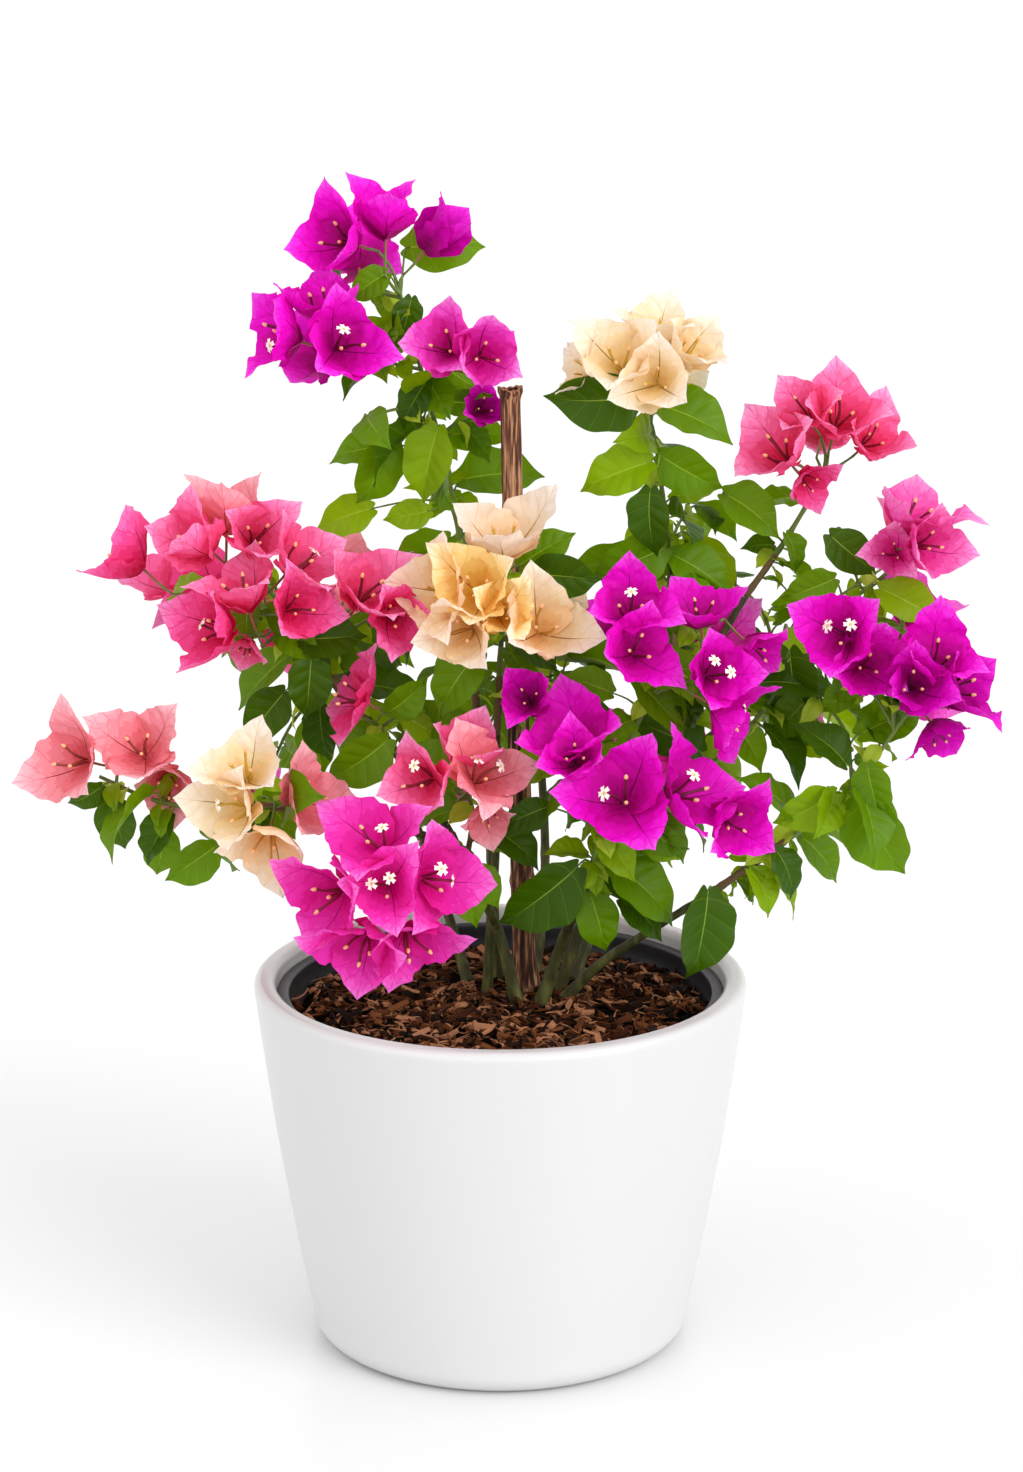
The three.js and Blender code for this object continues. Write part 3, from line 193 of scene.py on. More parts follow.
SPRAYS = [
    mass("spray_lower_front", "centre", 11, "bough_front", [(-36, -68, 328), (-50, -82, 321)], [
        head((-65, -138, 325), (-0.2, -0.95, 0.25), "hot_pink", 0.85, 50, 40, (0, 1)),
        head((-71, -123, 348), (-0.35, -0.6, 0.75), "hot_pink", 0.95, 20, 45, (0,)),
        head((-98, -117, 313), (-0.7, -0.7, -0.1), "hot_pink", 1.05, 25, 45),
        head((-36, -122, 324), (0.75, -0.65, 0.15), "hot_pink", 1, 110, 50, (0, 2)),
        head((-79, -120, 283), (-0.3, -0.8, -0.45), "hot_pink", 1, 30, 45),
        head((-51, -121, 285), (0.25, -0.75, -0.55), "hot_pink", 1, 5, 50),
    ], [((-30, -78, 318), (-12, -84, 282)), ((-18, -70, 315), (3, -74, 294))]),
    mass("spray_front_centre", "centre", 23, "bough_front", [(-16, -52, 340), (-18, -58, 356)], [
        head((-45, -92, 375), (-0.6, -0.8, 0.2), "coral", 0.9, 90, 40, (0,)),
        head((-10, -87, 377), (0.45, -0.6, 0.65), "salmon", 0.95, 20, 45, (0, 1)),
        head((-20, -69, 385), (0.25, -0.35, 0.9), "coral", 0.8, 70, 35),
        head((-8, -77, 349), (0.35, -0.7, -0.65), "salmon", 0.6, 30, 40),
    ], [((-24, -46, 356), (-56, -38, 384))], on=0.72),
    mass("spray_far_left", "left", 37, "bough_far_left",
         [(-138, -58, 350), (-176, -50, 346), (-206, -44, 350), (-236, -38, 362)], [
        head((-249, -55, 377), (-0.7, -0.65, 0.3), "salmon", 0.95, 80, 45),
        head((-209, -58, 385), (-0.1, -0.7, 0.7), "salmon", 0.95, 40, 40),
        head((-195, -42, 360), (0.05, -0.9, -0.4), "salmon", 0.75, 30, 35),
        head((-148, -82, 378), (-0.15, -0.55, 0.8), "cream", 0.95, 70, 45),
        head((-152, -89, 357), (-0.6, -0.75, 0.2), "cream", 0.95, 50, 35, (1,)),
        head((-134, -92, 336), (-0.1, -0.8, -0.6), "peach", 0.85, 50, 50),
        head((-113, -76, 359), (0.75, -0.6, 0.35), "salmon", 0.9, 0, 45),
    ], [
        ((-230, -45, 352), (-220, -45, 317)), ((-234, -44, 358), (-254, -45, 344)),
        ((-199, -34, 330), (-203, -32, 297)), ((-166, -56, 325), (-198, -62, 306)),
        ((-140, -42, 351), (-118, -43, 326)),
    ]),
    mass("spray_left", "left", 41, "bough_left", [(-108, 10, 420), (-142, 8, 446), (-168, 6, 466)], [
        head((-219, -4, 487), (-0.75, 0.05, 0.65), "rose", 0.95, 80, 40),
        head((-176, -19, 499), (-0.55, -0.55, 0.6), "coral", 1.05, 50, 25),
        head((-161, 5, 510), (0.05, -0.1, 1), "salmon", 1, 30, 30),
        head((-144, -6, 499), (0.25, -0.75, 0.6), "coral", 0.9, 40, 30),
        head((-150, -33, 471), (-0.3, -0.2, 0.95), "coral", 1, 70, 35),
        head((-119, -41, 464), (0.6, -0.75, 0.3), "rose", 0.8, 110, 40),
        head((-118, -18, 487), (0.65, -0.3, 0.7), "coral", 1, 50, 45, (0,)),
        head((-78, -24, 470), (0.45, -0.5, 0.7), "coral", 1, 40, 40),
        head((-62, -33, 458), (0.4, -0.9, 0.2), "rose", 0.85, 10, 30),
        head((-166, -40, 451), (-0.8, -0.55, 0.25), "rose", 0.95, 30, 35, (1,)),
        head((-149, -26, 437), (-0.3, -0.65, -0.7), "coral", 0.5, 20, 40),
        head((-180, 62, 452), (-0.6, 0.75, 0.3), "rose", 0.95),
    ], [
        ((-111, -22, 432), (-115, -26, 392)), ((-118, -18, 440), (-78, -20, 441)),
        ((-128, 0, 404), (-155, -4, 374)),
    ]),
    mass("spray_inner_left", "left", 47, "bough_left", [(-70, -8, 382), (-82, -14, 392)], [
        head((-88, -35, 409), (-0.85, -0.3, 0.4), "rose", 0.9, 30, 60),
    ], [((-66, -36, 384), (-102, -40, 356)), ((-66, -30, 399), (-41, -34, 419))], on=0.82),
    mass("spray_centre", "centre", 53, "bough_centre", [(0, -2, 424), (2, -8, 460), (3, -10, 482)], [
        head((2, -20, 501), (-0.1, -0.45, 0.9), "blush", 1.05, 30, 35),
        head((-34, -41, 476), (-0.7, -0.6, 0.35), "peach", 0.95, 50, 45),
        head((-12, -54, 478), (-0.2, -0.8, 0.6), "orange", 0.9, 20, 40),
        head((1, -59, 465), (0.15, -0.8, 0.6), "orange", 0.7, 50, 35),
        head((-21, -59, 455), (-0.5, -0.85, 0.1), "peach", 0.9, 80, 30),
        head((24, -57, 457), (0.2, -0.8, 0.55), "peach", 0.95, 100, 45),
    ], [
        ((-12, -36, 436), (-42, -42, 402)), ((12, -10, 483), (42, -12, 505)),
        ((18, -16, 479), (60, -20, 479)), ((7, -20, 440), (35, -24, 424)),
    ], leaf=40),
    mass("spray_centre_right", "right", 61, "bough_front_right",
         [(66, -40, 347), (76, -44, 385), (90, -48, 416)], [
        head((75, -68, 471), (0.05, -0.7, 0.7), "magenta", 0.9, 90, 40, (0,)),
        head((78, -85, 449), (0.25, -0.85, 0.45), "magenta", 0.9, 80, 45),
        head((123, -89, 437), (0.45, -0.8, 0.35), "magenta", 0.9, 0, 45, (0, 1)),
        head((116, -61, 466), (-0.05, -0.3, 0.95), "magenta", 0.8, 0, 50),
        head((147, -59, 443), (0.6, -0.55, -0.55), "magenta", 0.75, 60, 45),
        head((133, -69, 407), (0.85, -0.3, -0.45), "magenta", 1, 10, 45, (0,)),
    ], [((79, -50, 423), (111, -52, 390)), ((65, -52, 416), (36, -56, 429))]),
    mass("spray_low_centre", "centre", 71, "bough_front_right", [(56, -48, 318), (58, -60, 340)], [
        head((43, -83, 397), (-0.3, -0.4, 0.85), "magenta", 1.05, 90, 45),
        head((43, -97, 388), (-0.05, -0.75, 0.65), "magenta", 0.75, 90, 40),
        head((17, -64, 415), (-0.2, -0.8, 0.6), "violet", 0.65, 10, 35),
        head((69, -112, 370), (-0.2, -0.8, 0.6), "magenta", 1.05, 60, 50, (1,)),
        head((107, -96, 368), (0.85, -0.3, 0.45), "magenta", 1.05, 30, 50, (1,)),
        head((134, -85, 348), (0.55, -0.85, -0.1), "magenta", 0.85, 70, 35),
    ], [
        ((45, -55, 311), (-2, -58, 276)), ((66, -50, 311), (107, -52, 276)),
        ((53, -44, 292), (66, -46, 255)), ((85, -62, 336), (111, -64, 323)),
        ((28, -58, 349), (-1, -62, 340)), ((72, -38, 286), (100, -42, 265)),
    ], on=0.8),
    mass("spray_low_right", "right", 79, "bough_low_right",
         [(164, -25, 314), (207, -26, 350), (239, -28, 396)], [
        head((199, -59, 452), (-0.4, -0.8, 0.45), "magenta", 0.95, 30, 40, (0, 1)),
        head((212, -51, 432), (0.25, -0.9, 0.3), "magenta", 0.85, 80, 35),
        head((239, -65, 423), (-0.05, -0.9, 0.4), "violet", 0.85, 90, 35),
        head((253, -53, 437), (0.2, -0.65, 0.75), "magenta", 0.9, 90, 35),
        head((267, -49, 417), (0.75, -0.45, 0.5), "violet", 0.95, 50, 35),
        head((257, -41, 389), (0.55, -0.35, -0.75), "violet", 0.65, 50, 45),
    ], [
        ((123, -44, 293), (115, -52, 238)), ((198, -34, 350), (163, -38, 329)),
        ((211, -35, 346), (237, -38, 297)), ((204, -34, 368), (176, -34, 396)),
        ((216, -38, 369), (223, -44, 334)), ((163, -35, 316), (178, -36, 286)),
        ((148, -34, 303), (164, -36, 276)),
    ], leaf=42, twigs=2),
    mass("spray_upper_right", "right", 83, "bough_upper_right",
         [(104, 38, 430), (101, 42, 480), (94, 42, 540), (88, 40, 566)], [
        head((70, 0, 603), (-0.2, -0.7, 0.7), "cream", 0.95, 20, 35),
        head((51, 18, 595), (-0.8, -0.25, 0.5), "cream", 0.7, 110, 40),
        head((91, 22, 615), (0.15, -0.25, 0.95), "cream", 0.8, 70, 35),
        head((111, 11, 606), (0.5, -0.5, 0.7), "cream", 0.85, 70, 35),
        head((91, -11, 592), (-0.1, -0.95, 0.35), "cream", 0.8, 80, 35),
        head((82, 64, 588), (0.1, 0.75, 0.6), "cream", 0.8, flowers=2),
    ], [
        ((82, 12, 581), (27, 8, 572)), ((91, 14, 574), (139, 10, 554)), ((89, 20, 539), (46, 18, 525)),
        ((95, 25, 542), (133, 22, 521)), ((89, 12, 524), (87, 6, 484)), ((98, 20, 487), (54, 16, 469)),
        ((102, 25, 482), (142, 20, 461)),
    ], leaf=50, twigs=1),
    mass("spray_right", "right", 97, "bough_right", [(168, 53, 478), (184, 56, 504), (196, 58, 524)], [
        head((166, 24, 544), (-0.55, -0.5, 0.65), "coral", 1, 110, 40),
        head((181, 36, 567), (-0.4, -0.6, 0.65), "coral", 0.75, 0, 40),
        head((201, 34, 564), (0.1, -0.65, 0.75), "coral", 0.95, 90, 35),
        head((221, 39, 549), (0.45, -0.7, 0.6), "coral", 0.8, 80, 35),
        head((183, 25, 526), (0.45, -0.8, -0.4), "rose", 0.55, 40, 40),
        head((196, 80, 548), (0.2, 0.85, 0.45), "coral", 0.8),
    ], [((134, 40, 516), (171, 32, 496)), ((172, 48, 490), (181, 44, 467))], leaf=36),
    mass("spray_far_right", "right", 103, "bough_far_right",
         [(206, 26, 452), (224, 22, 465), (236, 18, 478)], [
        head((244, 2, 510), (0.25, -0.2, 0.95), "pale_pink", 1, 90, 40),
        head((250, -13, 496), (0.6, -0.75, 0.25), "pale_pink", 0.85, 100, 30),
        head((233, 0, 488), (-0.35, -0.85, 0.35), "pale_pink", 0.6, 70, 40),
        head((256, 44, 424), (0.6, 0.75, 0.1), "fuchsia", 0.95, flowers=2),
    ], [
        ((196, 20, 495), (224, 16, 469)), ((225, 2, 466), (260, -4, 447)), ((199, 12, 470), (168, 8, 457)),
    ], leaf=38),
    mass("spray_inner_right", "right", 109, "bough_upper_right",
         [(96, 18, 332), (132, 6, 362), (160, 2, 396), (172, 0, 424)], [
        head((128, 62, 424), (0.2, 0.8, 0.5), "fuchsia", 0.95),
    ], [((172, 0, 429), (180, -2, 378))], leaf=50, twigs=2, on=0.6),
    mass("spray_upper_left", "left", 113, "bough_upper_left",
         [(-22, 62, 470), (-29, 58, 509), (-38, 52, 552), (-50, 45, 602), (-60, 40, 640)], [
        head((-93, 16, 672), (-0.6, -0.7, 0.3), "magenta", 0.95, 80, 35),
        head((-66, 18, 682), (0.05, -0.2, 1), "magenta", 0.9, 30, 25),
        head((-38, 37, 669), (0.65, -0.1, 0.75), "violet", 0.8, 80, 18),
        head((-127, 1, 616), (-0.85, -0.4, 0.25), "magenta", 1, 0, 40, (2,)),
        head((-91, -12, 614), (0.4, -0.8, 0.4), "magenta", 1, 110, 40, (0,)),
        head((-103, 12, 634), (-0.05, -0.15, 1), "magenta", 0.9, 90, 40),
        head((-31, 11, 609), (-0.35, -0.8, 0.45), "fuchsia", 0.9, 70, 30),
        head((-10, 6, 605), (0.25, -0.95, 0.25), "fuchsia", 0.9, 90, 30),
        head((-11, 37, 568), (0.35, -0.8, 0.45), "violet", 0.55, 90, 35),
        head((-86, 86, 652), (-0.15, 0.85, 0.5), "magenta", 0.95),
        head((-112, 84, 592), (-0.4, 0.85, 0.1), "magenta", 0.95),
    ], [
        ((-64, 40, 550), (-85, 38, 508)), ((-33, 44, 571), (-8, 42, 569)), ((-37, 35, 557), (-50, 32, 512)),
        ((-43, 30, 586), (-60, 26, 558)), ((-56, 58, 661), (-8, 60, 664)), ((-24, 68, 519), (27, 70, 526)),
        ((-52, 32, 635), (-58, 28, 608)), ((-66, 30, 650), (-90, 26, 636)), ((-42, 48, 504), (-70, 44, 498)),
        ((-77, 60, 503), (-113, 56, 494)), ((-65, 56, 541), (-103, 52, 538)),
    ], leaf=48, twigs=2),
    mass("spray_back_left", "back", 127, "bough_back_left",
         [(-120, 116, 402), (-138, 122, 430), (-152, 122, 452)], [
        head((-205, 122, 446), (-0.55, 0.6, 0.6), "coral", stars=(0,)),
        head((-155, 136, 428), (-0.3, 0.8, 0.5), "rose", flowers=2, stars=(0,)),
        head((-98, 148, 440), (0.1, 0.9, 0.45), "salmon", flowers=2),
        head((-160, 140, 306), (-0.3, 0.9, -0.2), "hot_pink", 0.95, start=14, stars=(1,)),
    ], leaf=52, twigs=2),
    mass("spray_back", "back", 131, "bough_back", [(16, 122, 410), (10, 126, 440), (4, 122, 466)], [
        head((-8, 138, 440), (-0.1, 0.7, 0.7), "peach", flowers=2),
        head((30, 148, 418), (0.2, 0.9, 0.4), "peach", 0.95),
        head((-42, 152, 424), (-0.5, 0.85, 0.2), "coral", 1.05, stars=(0, 1)),
        head((76, 156, 396), (0.45, 0.85, 0.25), "magenta", 1.05),
        head((-28, 160, 316), (-0.3, 0.9, -0.3), "hot_pink", 0.95, start=14, stars=(0,)),
        head((50, 160, 330), (0.3, 0.9, -0.25), "magenta", 0.95, start=14, stars=(2,)),
    ], leaf=52, twigs=2),
    mass("spray_back_right", "back", 137, "bough_back_right",
         [(156, 112, 374), (174, 114, 402), (188, 112, 428)], [
        head((252, 112, 478), (0.5, 0.6, 0.6), "coral", 0.85),
        head((246, 122, 390), (0.75, 0.65, 0.1), "magenta", 0.95, stars=(0,)),
        head((150, 148, 388), (0, 0.95, 0.3), "fuchsia", flowers=2, stars=(1,)),
        head((116, 150, 322), (0.1, 0.95, -0.25), "hot_pink", 0.95, start=14),
    ], leaf=52, twigs=2),
]


# Bract colours as sRGB: throat, darkened as painted shade; middle; outer part, lightened as painted light;
# the midrib's foot; then the flower tube's colour
TINTS = {
    "magenta": ((180, 0, 124), (240, 6, 206), (251, 100, 240), (128, 0, 84), (104, 6, 50)),
    "violet": ((154, 0, 104), (216, 0, 184), (244, 64, 226), (104, 0, 70), (86, 6, 44)),
    "fuchsia": ((212, 12, 140), (246, 74, 206), (254, 164, 236), (140, 0, 84), (116, 14, 50)),
    "pale_pink": ((222, 30, 134), (246, 106, 188), (254, 178, 226), (146, 12, 84), (122, 22, 54)),
    "hot_pink": ((222, 10, 140), (246, 60, 190), (254, 140, 228), (156, 10, 84), (128, 30, 60)),
    "coral": ((228, 46, 96), (252, 114, 174), (255, 182, 228), (150, 28, 54), (122, 34, 46)),
    "rose": ((216, 24, 84), (248, 84, 158), (254, 158, 216), (136, 14, 48), (112, 22, 42)),
    "salmon": ((224, 96, 106), (252, 157, 170), (255, 208, 216), (162, 56, 54), (138, 62, 48)),
    "peach": ((244, 194, 122), (255, 234, 202), (255, 248, 238), (172, 100, 46), (188, 138, 60)),
    "orange": ((240, 178, 62), (254, 228, 160), (255, 246, 220), (168, 96, 30), (192, 140, 44)),
    "blush": ((244, 202, 142), (254, 232, 212), (255, 246, 240), (160, 116, 52), (206, 168, 70)),
    "cream": ((244, 208, 134), (252, 235, 210), (255, 250, 240), (150, 116, 42), (198, 164, 62)),
}
LEAF_TONES = {
    "leaf_mature": (90, 130, 0),
    "leaf_fresh": (124, 160, 4),
    "leaf_dark": (54, 88, 0),
    "leaf_young": (166, 192, 56),
}
LEAF_VEIN = (178, 202, 86)


def linear(colour):
    """An sRGB colour of 0 to 255 as linear red, green, blue and alpha."""
    parts = [c / 255 for c in colour]
    return tuple(c / 12.92 if c <= 0.04045 else ((c + 0.055) / 1.055) ** 2.4 for c in parts) + (1,)


def mix(a, b, share):
    return a + (b - a) * share


def vary(pair, random):
    return pair[0] + pair[1] * random()


def swing(spread, random):
    """A number from minus half to plus half of spread."""
    return spread * (random() - 0.5)


def seeded(seed):
    """Even pseudo-random numbers from 0 to 1 that are the same on every run."""
    state = seed

    def draw():
        nonlocal state
        state = (state * RANDOM_FACTOR) % RANDOM_RANGE
        return state / RANDOM_RANGE

    return draw


def squared(direction, to):
    """The part of a direction that stands square to another one."""
    return (direction - to * direction.dot(to)).normalized()


def spoke(pair, turn):
    """The direction at a turn round a ring, from the ring's two directions."""
    first, second = pair
    return first * math.cos(turn) + second * math.sin(turn)


def across(heading, turn):
    """A direction square to heading, turned round it from the X axis, or from Z where heading is near X."""
    start = Vector((1, 0, 0)) if abs(heading.x) < NEAR_X_AXIS else UP
    first = squared(start, heading)
    return spoke((first, heading.cross(first)), turn)


class Way:
    """A smooth way through its places, walked by length."""

    def __init__(self, places):
        places = [Vector(p) for p in places]
        ends = [places[0] * 2 - places[1]] + places + [places[-1] * 2 - places[-2]]
        self.points = []
        for span in range(len(places) - 1):
            self.points += [self.curve(ends[span:span + 4], i / SPAN_STEPS) for i in range(SPAN_STEPS)]
        self.points.append(places[-1])
        self.walked = [0]
        for before, after in zip(self.points, self.points[1:]):
            self.walked.append(self.walked[-1] + (after - before).length)
        self.length = self.walked[-1]

    @staticmethod
    def curve(four, t):
        """A point between the middle two of four places, on a Catmull-Rom curve."""
        before, start, end, after = four
        leave, arrive = (end - before) / 2, (after - start) / 2
        cubic = (start - end) * 2 + leave + arrive
        square = (end - start) * 3 - leave * 2 - arrive
        return start + leave * t + square * t ** 2 + cubic * t ** 3

    def at(self, distance):
        wanted = min(max(distance, 0), self.length)
        i = 1
        while i < len(self.points) - 1 and self.walked[i] < wanted:
            i += 1
        share = (wanted - self.walked[i - 1]) / (self.walked[i] - self.walked[i - 1])
        return self.points[i - 1].lerp(self.points[i], share)

    def heading(self, distance):
        return (self.at(distance + 1) - self.at(distance - 1)).normalized()

    def nearest(self, point):
        gaps = [(place - point).length for place in self.points]
        return self.walked[gaps.index(min(gaps))]


def leaf_on(root, heading, turn, length, random):
    """Where a leaf goes that leaves its twig at root: it droops, and faces up and out of the crown."""
    side = across(heading, turn)
    rise = vary(LEAF_RISE, random)
    droop = vary(LEAF_DROOP, random)
    size = length * vary(LEAF_SIZE, random)
    roll = swing(LEAF_ROLL_VARIES, random)
    away = (side + heading * LEAF_LEAN + UP * rise).normalized()
    foot = root + away * size * PETIOLE_SHARE
    along = (away - UP * droop).normalized()
    outward = Vector((SIDEWAYS * foot.x, foot.y - CROWN_MIDDLE, 0)).normalized()
    face = outward + UP * LEAF_FACE_UP
    face += along.cross(face).normalized() * roll
    return dict(root=root, foot=foot, along=along, face=squared(face, along), length=size)


def leaf_from(root, foot, tip):
    """A leaf set by its foot and tip, facing the front."""
    along = tip - foot
    length = along.length
    along = along.normalized()
    return dict(root=root, foot=foot, along=along, face=squared(FRONT_FACE, along), length=length)


def leaves_along(way, start, spacing, length, random):
    """Leaves set singly along a way, each turned by the golden angle from the last."""
    leaves = []
    for i in range(math.floor((way.length - start) / spacing)):
        distance = start + (i + 0.5) * spacing
        turn = i * GOLDEN_TURN + LEAF_TURN_VARIES * random()
        leaves.append(leaf_on(way.at(distance), way.heading(distance), turn, length, random))
    return leaves


def leaned(direction, towards, angle):
    """A direction leaned by an angle towards another one that is square to it."""
    return direction * math.cos(angle) + towards * math.sin(angle)


def flower_directions(aim, count, turn):
    """The directions in which a head's flowers stand out from its hub."""
    if count == 1:
        return [aim.copy()]
    around = [across(aim, turn + 2 * math.pi * i / count) for i in range(count)]
    return [leaned(aim, a, FLOWER_SPREAD) for a in around]


def flower_at(hub, direction, spot, random):
    """A flower on its stalk, with three bracts open round it, turned and opened as its head says."""
    size = spot["size"]
    base = hub + direction * FLOWER_REACH * size
    drawn = 360 * random()
    turn = math.radians(drawn if spot["turn"] is None else spot["turn"])
    bracts = []
    for i in range(3):
        opened = spot["opened"] + swing(BRACT_OPEN_VARIES, random)
        length = BRACT_LENGTH * size * vary(BRACT_SIZE, random)
        around = across(direction, turn + 2 * math.pi * i / 3)
        along = leaned(direction, around, math.radians(opened))
        face = squared(direction, along)
        bracts.append(dict(foot=base, around=around, along=along, face=face, length=length))
    return dict(hub=hub, base=base, direction=direction, bracts=bracts, size=size, tint=spot["tint"],
                stars=spot["stars"])


def twig_to(way, distance, end, aim):
    """A twig that leaves a way at a distance along it and curves round to face aim at its end."""
    start = way.at(distance)
    gap = (end - start).length
    middle = start.lerp(end, 0.5) + way.heading(distance) * TWIG_BOW * gap - aim * TWIG_BOW * gap
    return Way([start, middle, end])


def plan_spray(spray, stem):
    """Everything in a spray, by the same draws as the solids."""
    random = seeded(spray["seed"])
    leaves = leaves_along(stem, STEM_BARE, LEAF_SPACING, spray["leaf"], random)
    twigs = []
    for i in range(spray["twigs"]):
        distance = stem.length * (i + SIDE_TWIG_FROM) / (spray["twigs"] + SIDE_TWIG_BEYOND)
        side = across(stem.heading(distance), i * GOLDEN_TURN + SIDE_TWIG_TURN_VARIES * random())
        reach = vary(SIDE_TWIG_REACH, random)
        end = stem.at(distance) + side * reach + UP * reach * SIDE_TWIG_RISE
        way = twig_to(stem, distance, end, side)
        own = leaves_along(way, SIDE_TWIG_BARE, TWIG_LEAF_SPACING, spray["leaf"], random)
        twigs.append(dict(way=way, leaves=own, flowers=[]))
    for spot in spray["heads"]:
        aim = spot["aim"]
        hub = spot["at"] - aim * (FLOWER_REACH + HEAD_DEPTH) * spot["size"]
        near = stem.nearest(hub)
        distance = max(near - TWIG_BACK * (stem.at(near) - hub).length, spot["start"])
        way = twig_to(stem, distance, hub, aim)
        own = leaves_along(way, STEM_BARE, TWIG_LEAF_SPACING, spray["leaf"] * HEAD_LEAF_SIZE, random)
        turn = 2 * math.pi * random()
        directions = flower_directions(aim, spot["flowers"], turn)
        flowers = [flower_at(hub, direction, spot, random) for direction in directions]
        twigs.append(dict(way=way, leaves=own, flowers=flowers))
    for foot, tip in spray["leaves"]:
        start = Vector(foot)
        root = stem.at(stem.nearest(start) - PETIOLE_BACK)
        leaves.append(leaf_from(root, start, Vector(tip)))
    return dict(leaves=leaves, twigs=twigs)


def spray_stem(spray, ways):
    """The way of a spray's own stem, from its limb's tip or side."""
    limb = ways[spray["limb"]]
    if spray["on"] is None:
        start = limb.at(limb.length) + limb.heading(limb.length) * CLEAR
    else:
        start = limb.at(limb.length * spray["on"])
    return Way([start] + spray["route"])


class Batch:
    """Vertices and faces gathered for one joined mesh, with a material slot for each face."""

    def __init__(self):
        self.points = []
        self.faces = []
        self.slots = []
        self.count = 0

    def add(self, points, faces, slots):
        self.points.append(np.asarray(points, dtype=float))
        self.faces += [tuple(self.count + i for i in face) for face in faces]
        self.slots += slots
        self.count += len(points)

    def build(self, name, materials, smooth=True):
        mesh = bpy.data.meshes.new(name)
        mesh.from_pydata(np.concatenate(self.points) * MM, [], self.faces)
        for material in materials:
            mesh.materials.append(material)
        mesh.polygons.foreach_set("material_index", np.array(self.slots, dtype=np.int32))
        mesh.polygons.foreach_set("use_smooth", np.full(len(self.faces), smooth))
        mesh.update()
        piece = bpy.data.objects.new(name, mesh)
        bpy.context.scene.collection.objects.link(piece)
        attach(piece, "root")
        return piece


# Veined sheets, leaves and bracts: places are shares of the sheet's length
EDGE_COLUMNS = (0.02, 0.16, 0.34, 0.52, 0.7, 0.87, 1.0)
NECK_ROW = 0.03
TIP_ROWS = (0.93, 0.97)
FIRST_VEIN = 0.08
LAST_VEIN = 0.88
GAP_ROWS = 4
HALF_VEIN = 0.004
VEIN_CURVE = 1.3
RIB_DARK_TO = 0.6
LOBES_TO = 0.1
# Outlines: the share of the length where the sheet is widest, roundness before it, fullness and point beyond
LEAF_OUTLINE = (0.34, 0.56, 2.3, 1)
BRACT_OUTLINE = (0.4, 0.5, 2.0, 1.25)
BASE_SHARE = 0.42
DRIP_FROM = 0.74
DRIP_FULL = 0.96
# Colour zones run from painted shade in a bract's throat to painted light on its outer part and edges
ZONES = 8
ZONE_ALONG = 0.85
ZONE_ACROSS = 0.24
ZONE_SCATTER = 0.07
WRAP_THROAT = 0.06
WRAP_WIDENS = 0.5
FOLD_WIDTH = 0.05
TIP_FROM = 0.68
SIDE_PHASE = 2.4


def leaf_outline(t):
    """Width of a leaf at a share of its length, 1 at its widest: it bulges and ends in a drip tip."""
    near_tip = min(max((t - DRIP_FROM) / (DRIP_FULL - DRIP_FROM), 0), 1)
    return outline(t, *LEAF_OUTLINE) * (1 - 0.5 * near_tip ** 2 * (3 - 2 * near_tip))


def bract_outline(t):
    return outline(t, *BRACT_OUTLINE)


def outline(t, widest, roundness, fullness, point):
    rising = math.sin(math.pi / 2 * min(t / widest, 1) ** roundness)
    beyond = max(t - widest, 0) / (1 - widest)
    return rising * (1 - beyond ** fullness) ** point


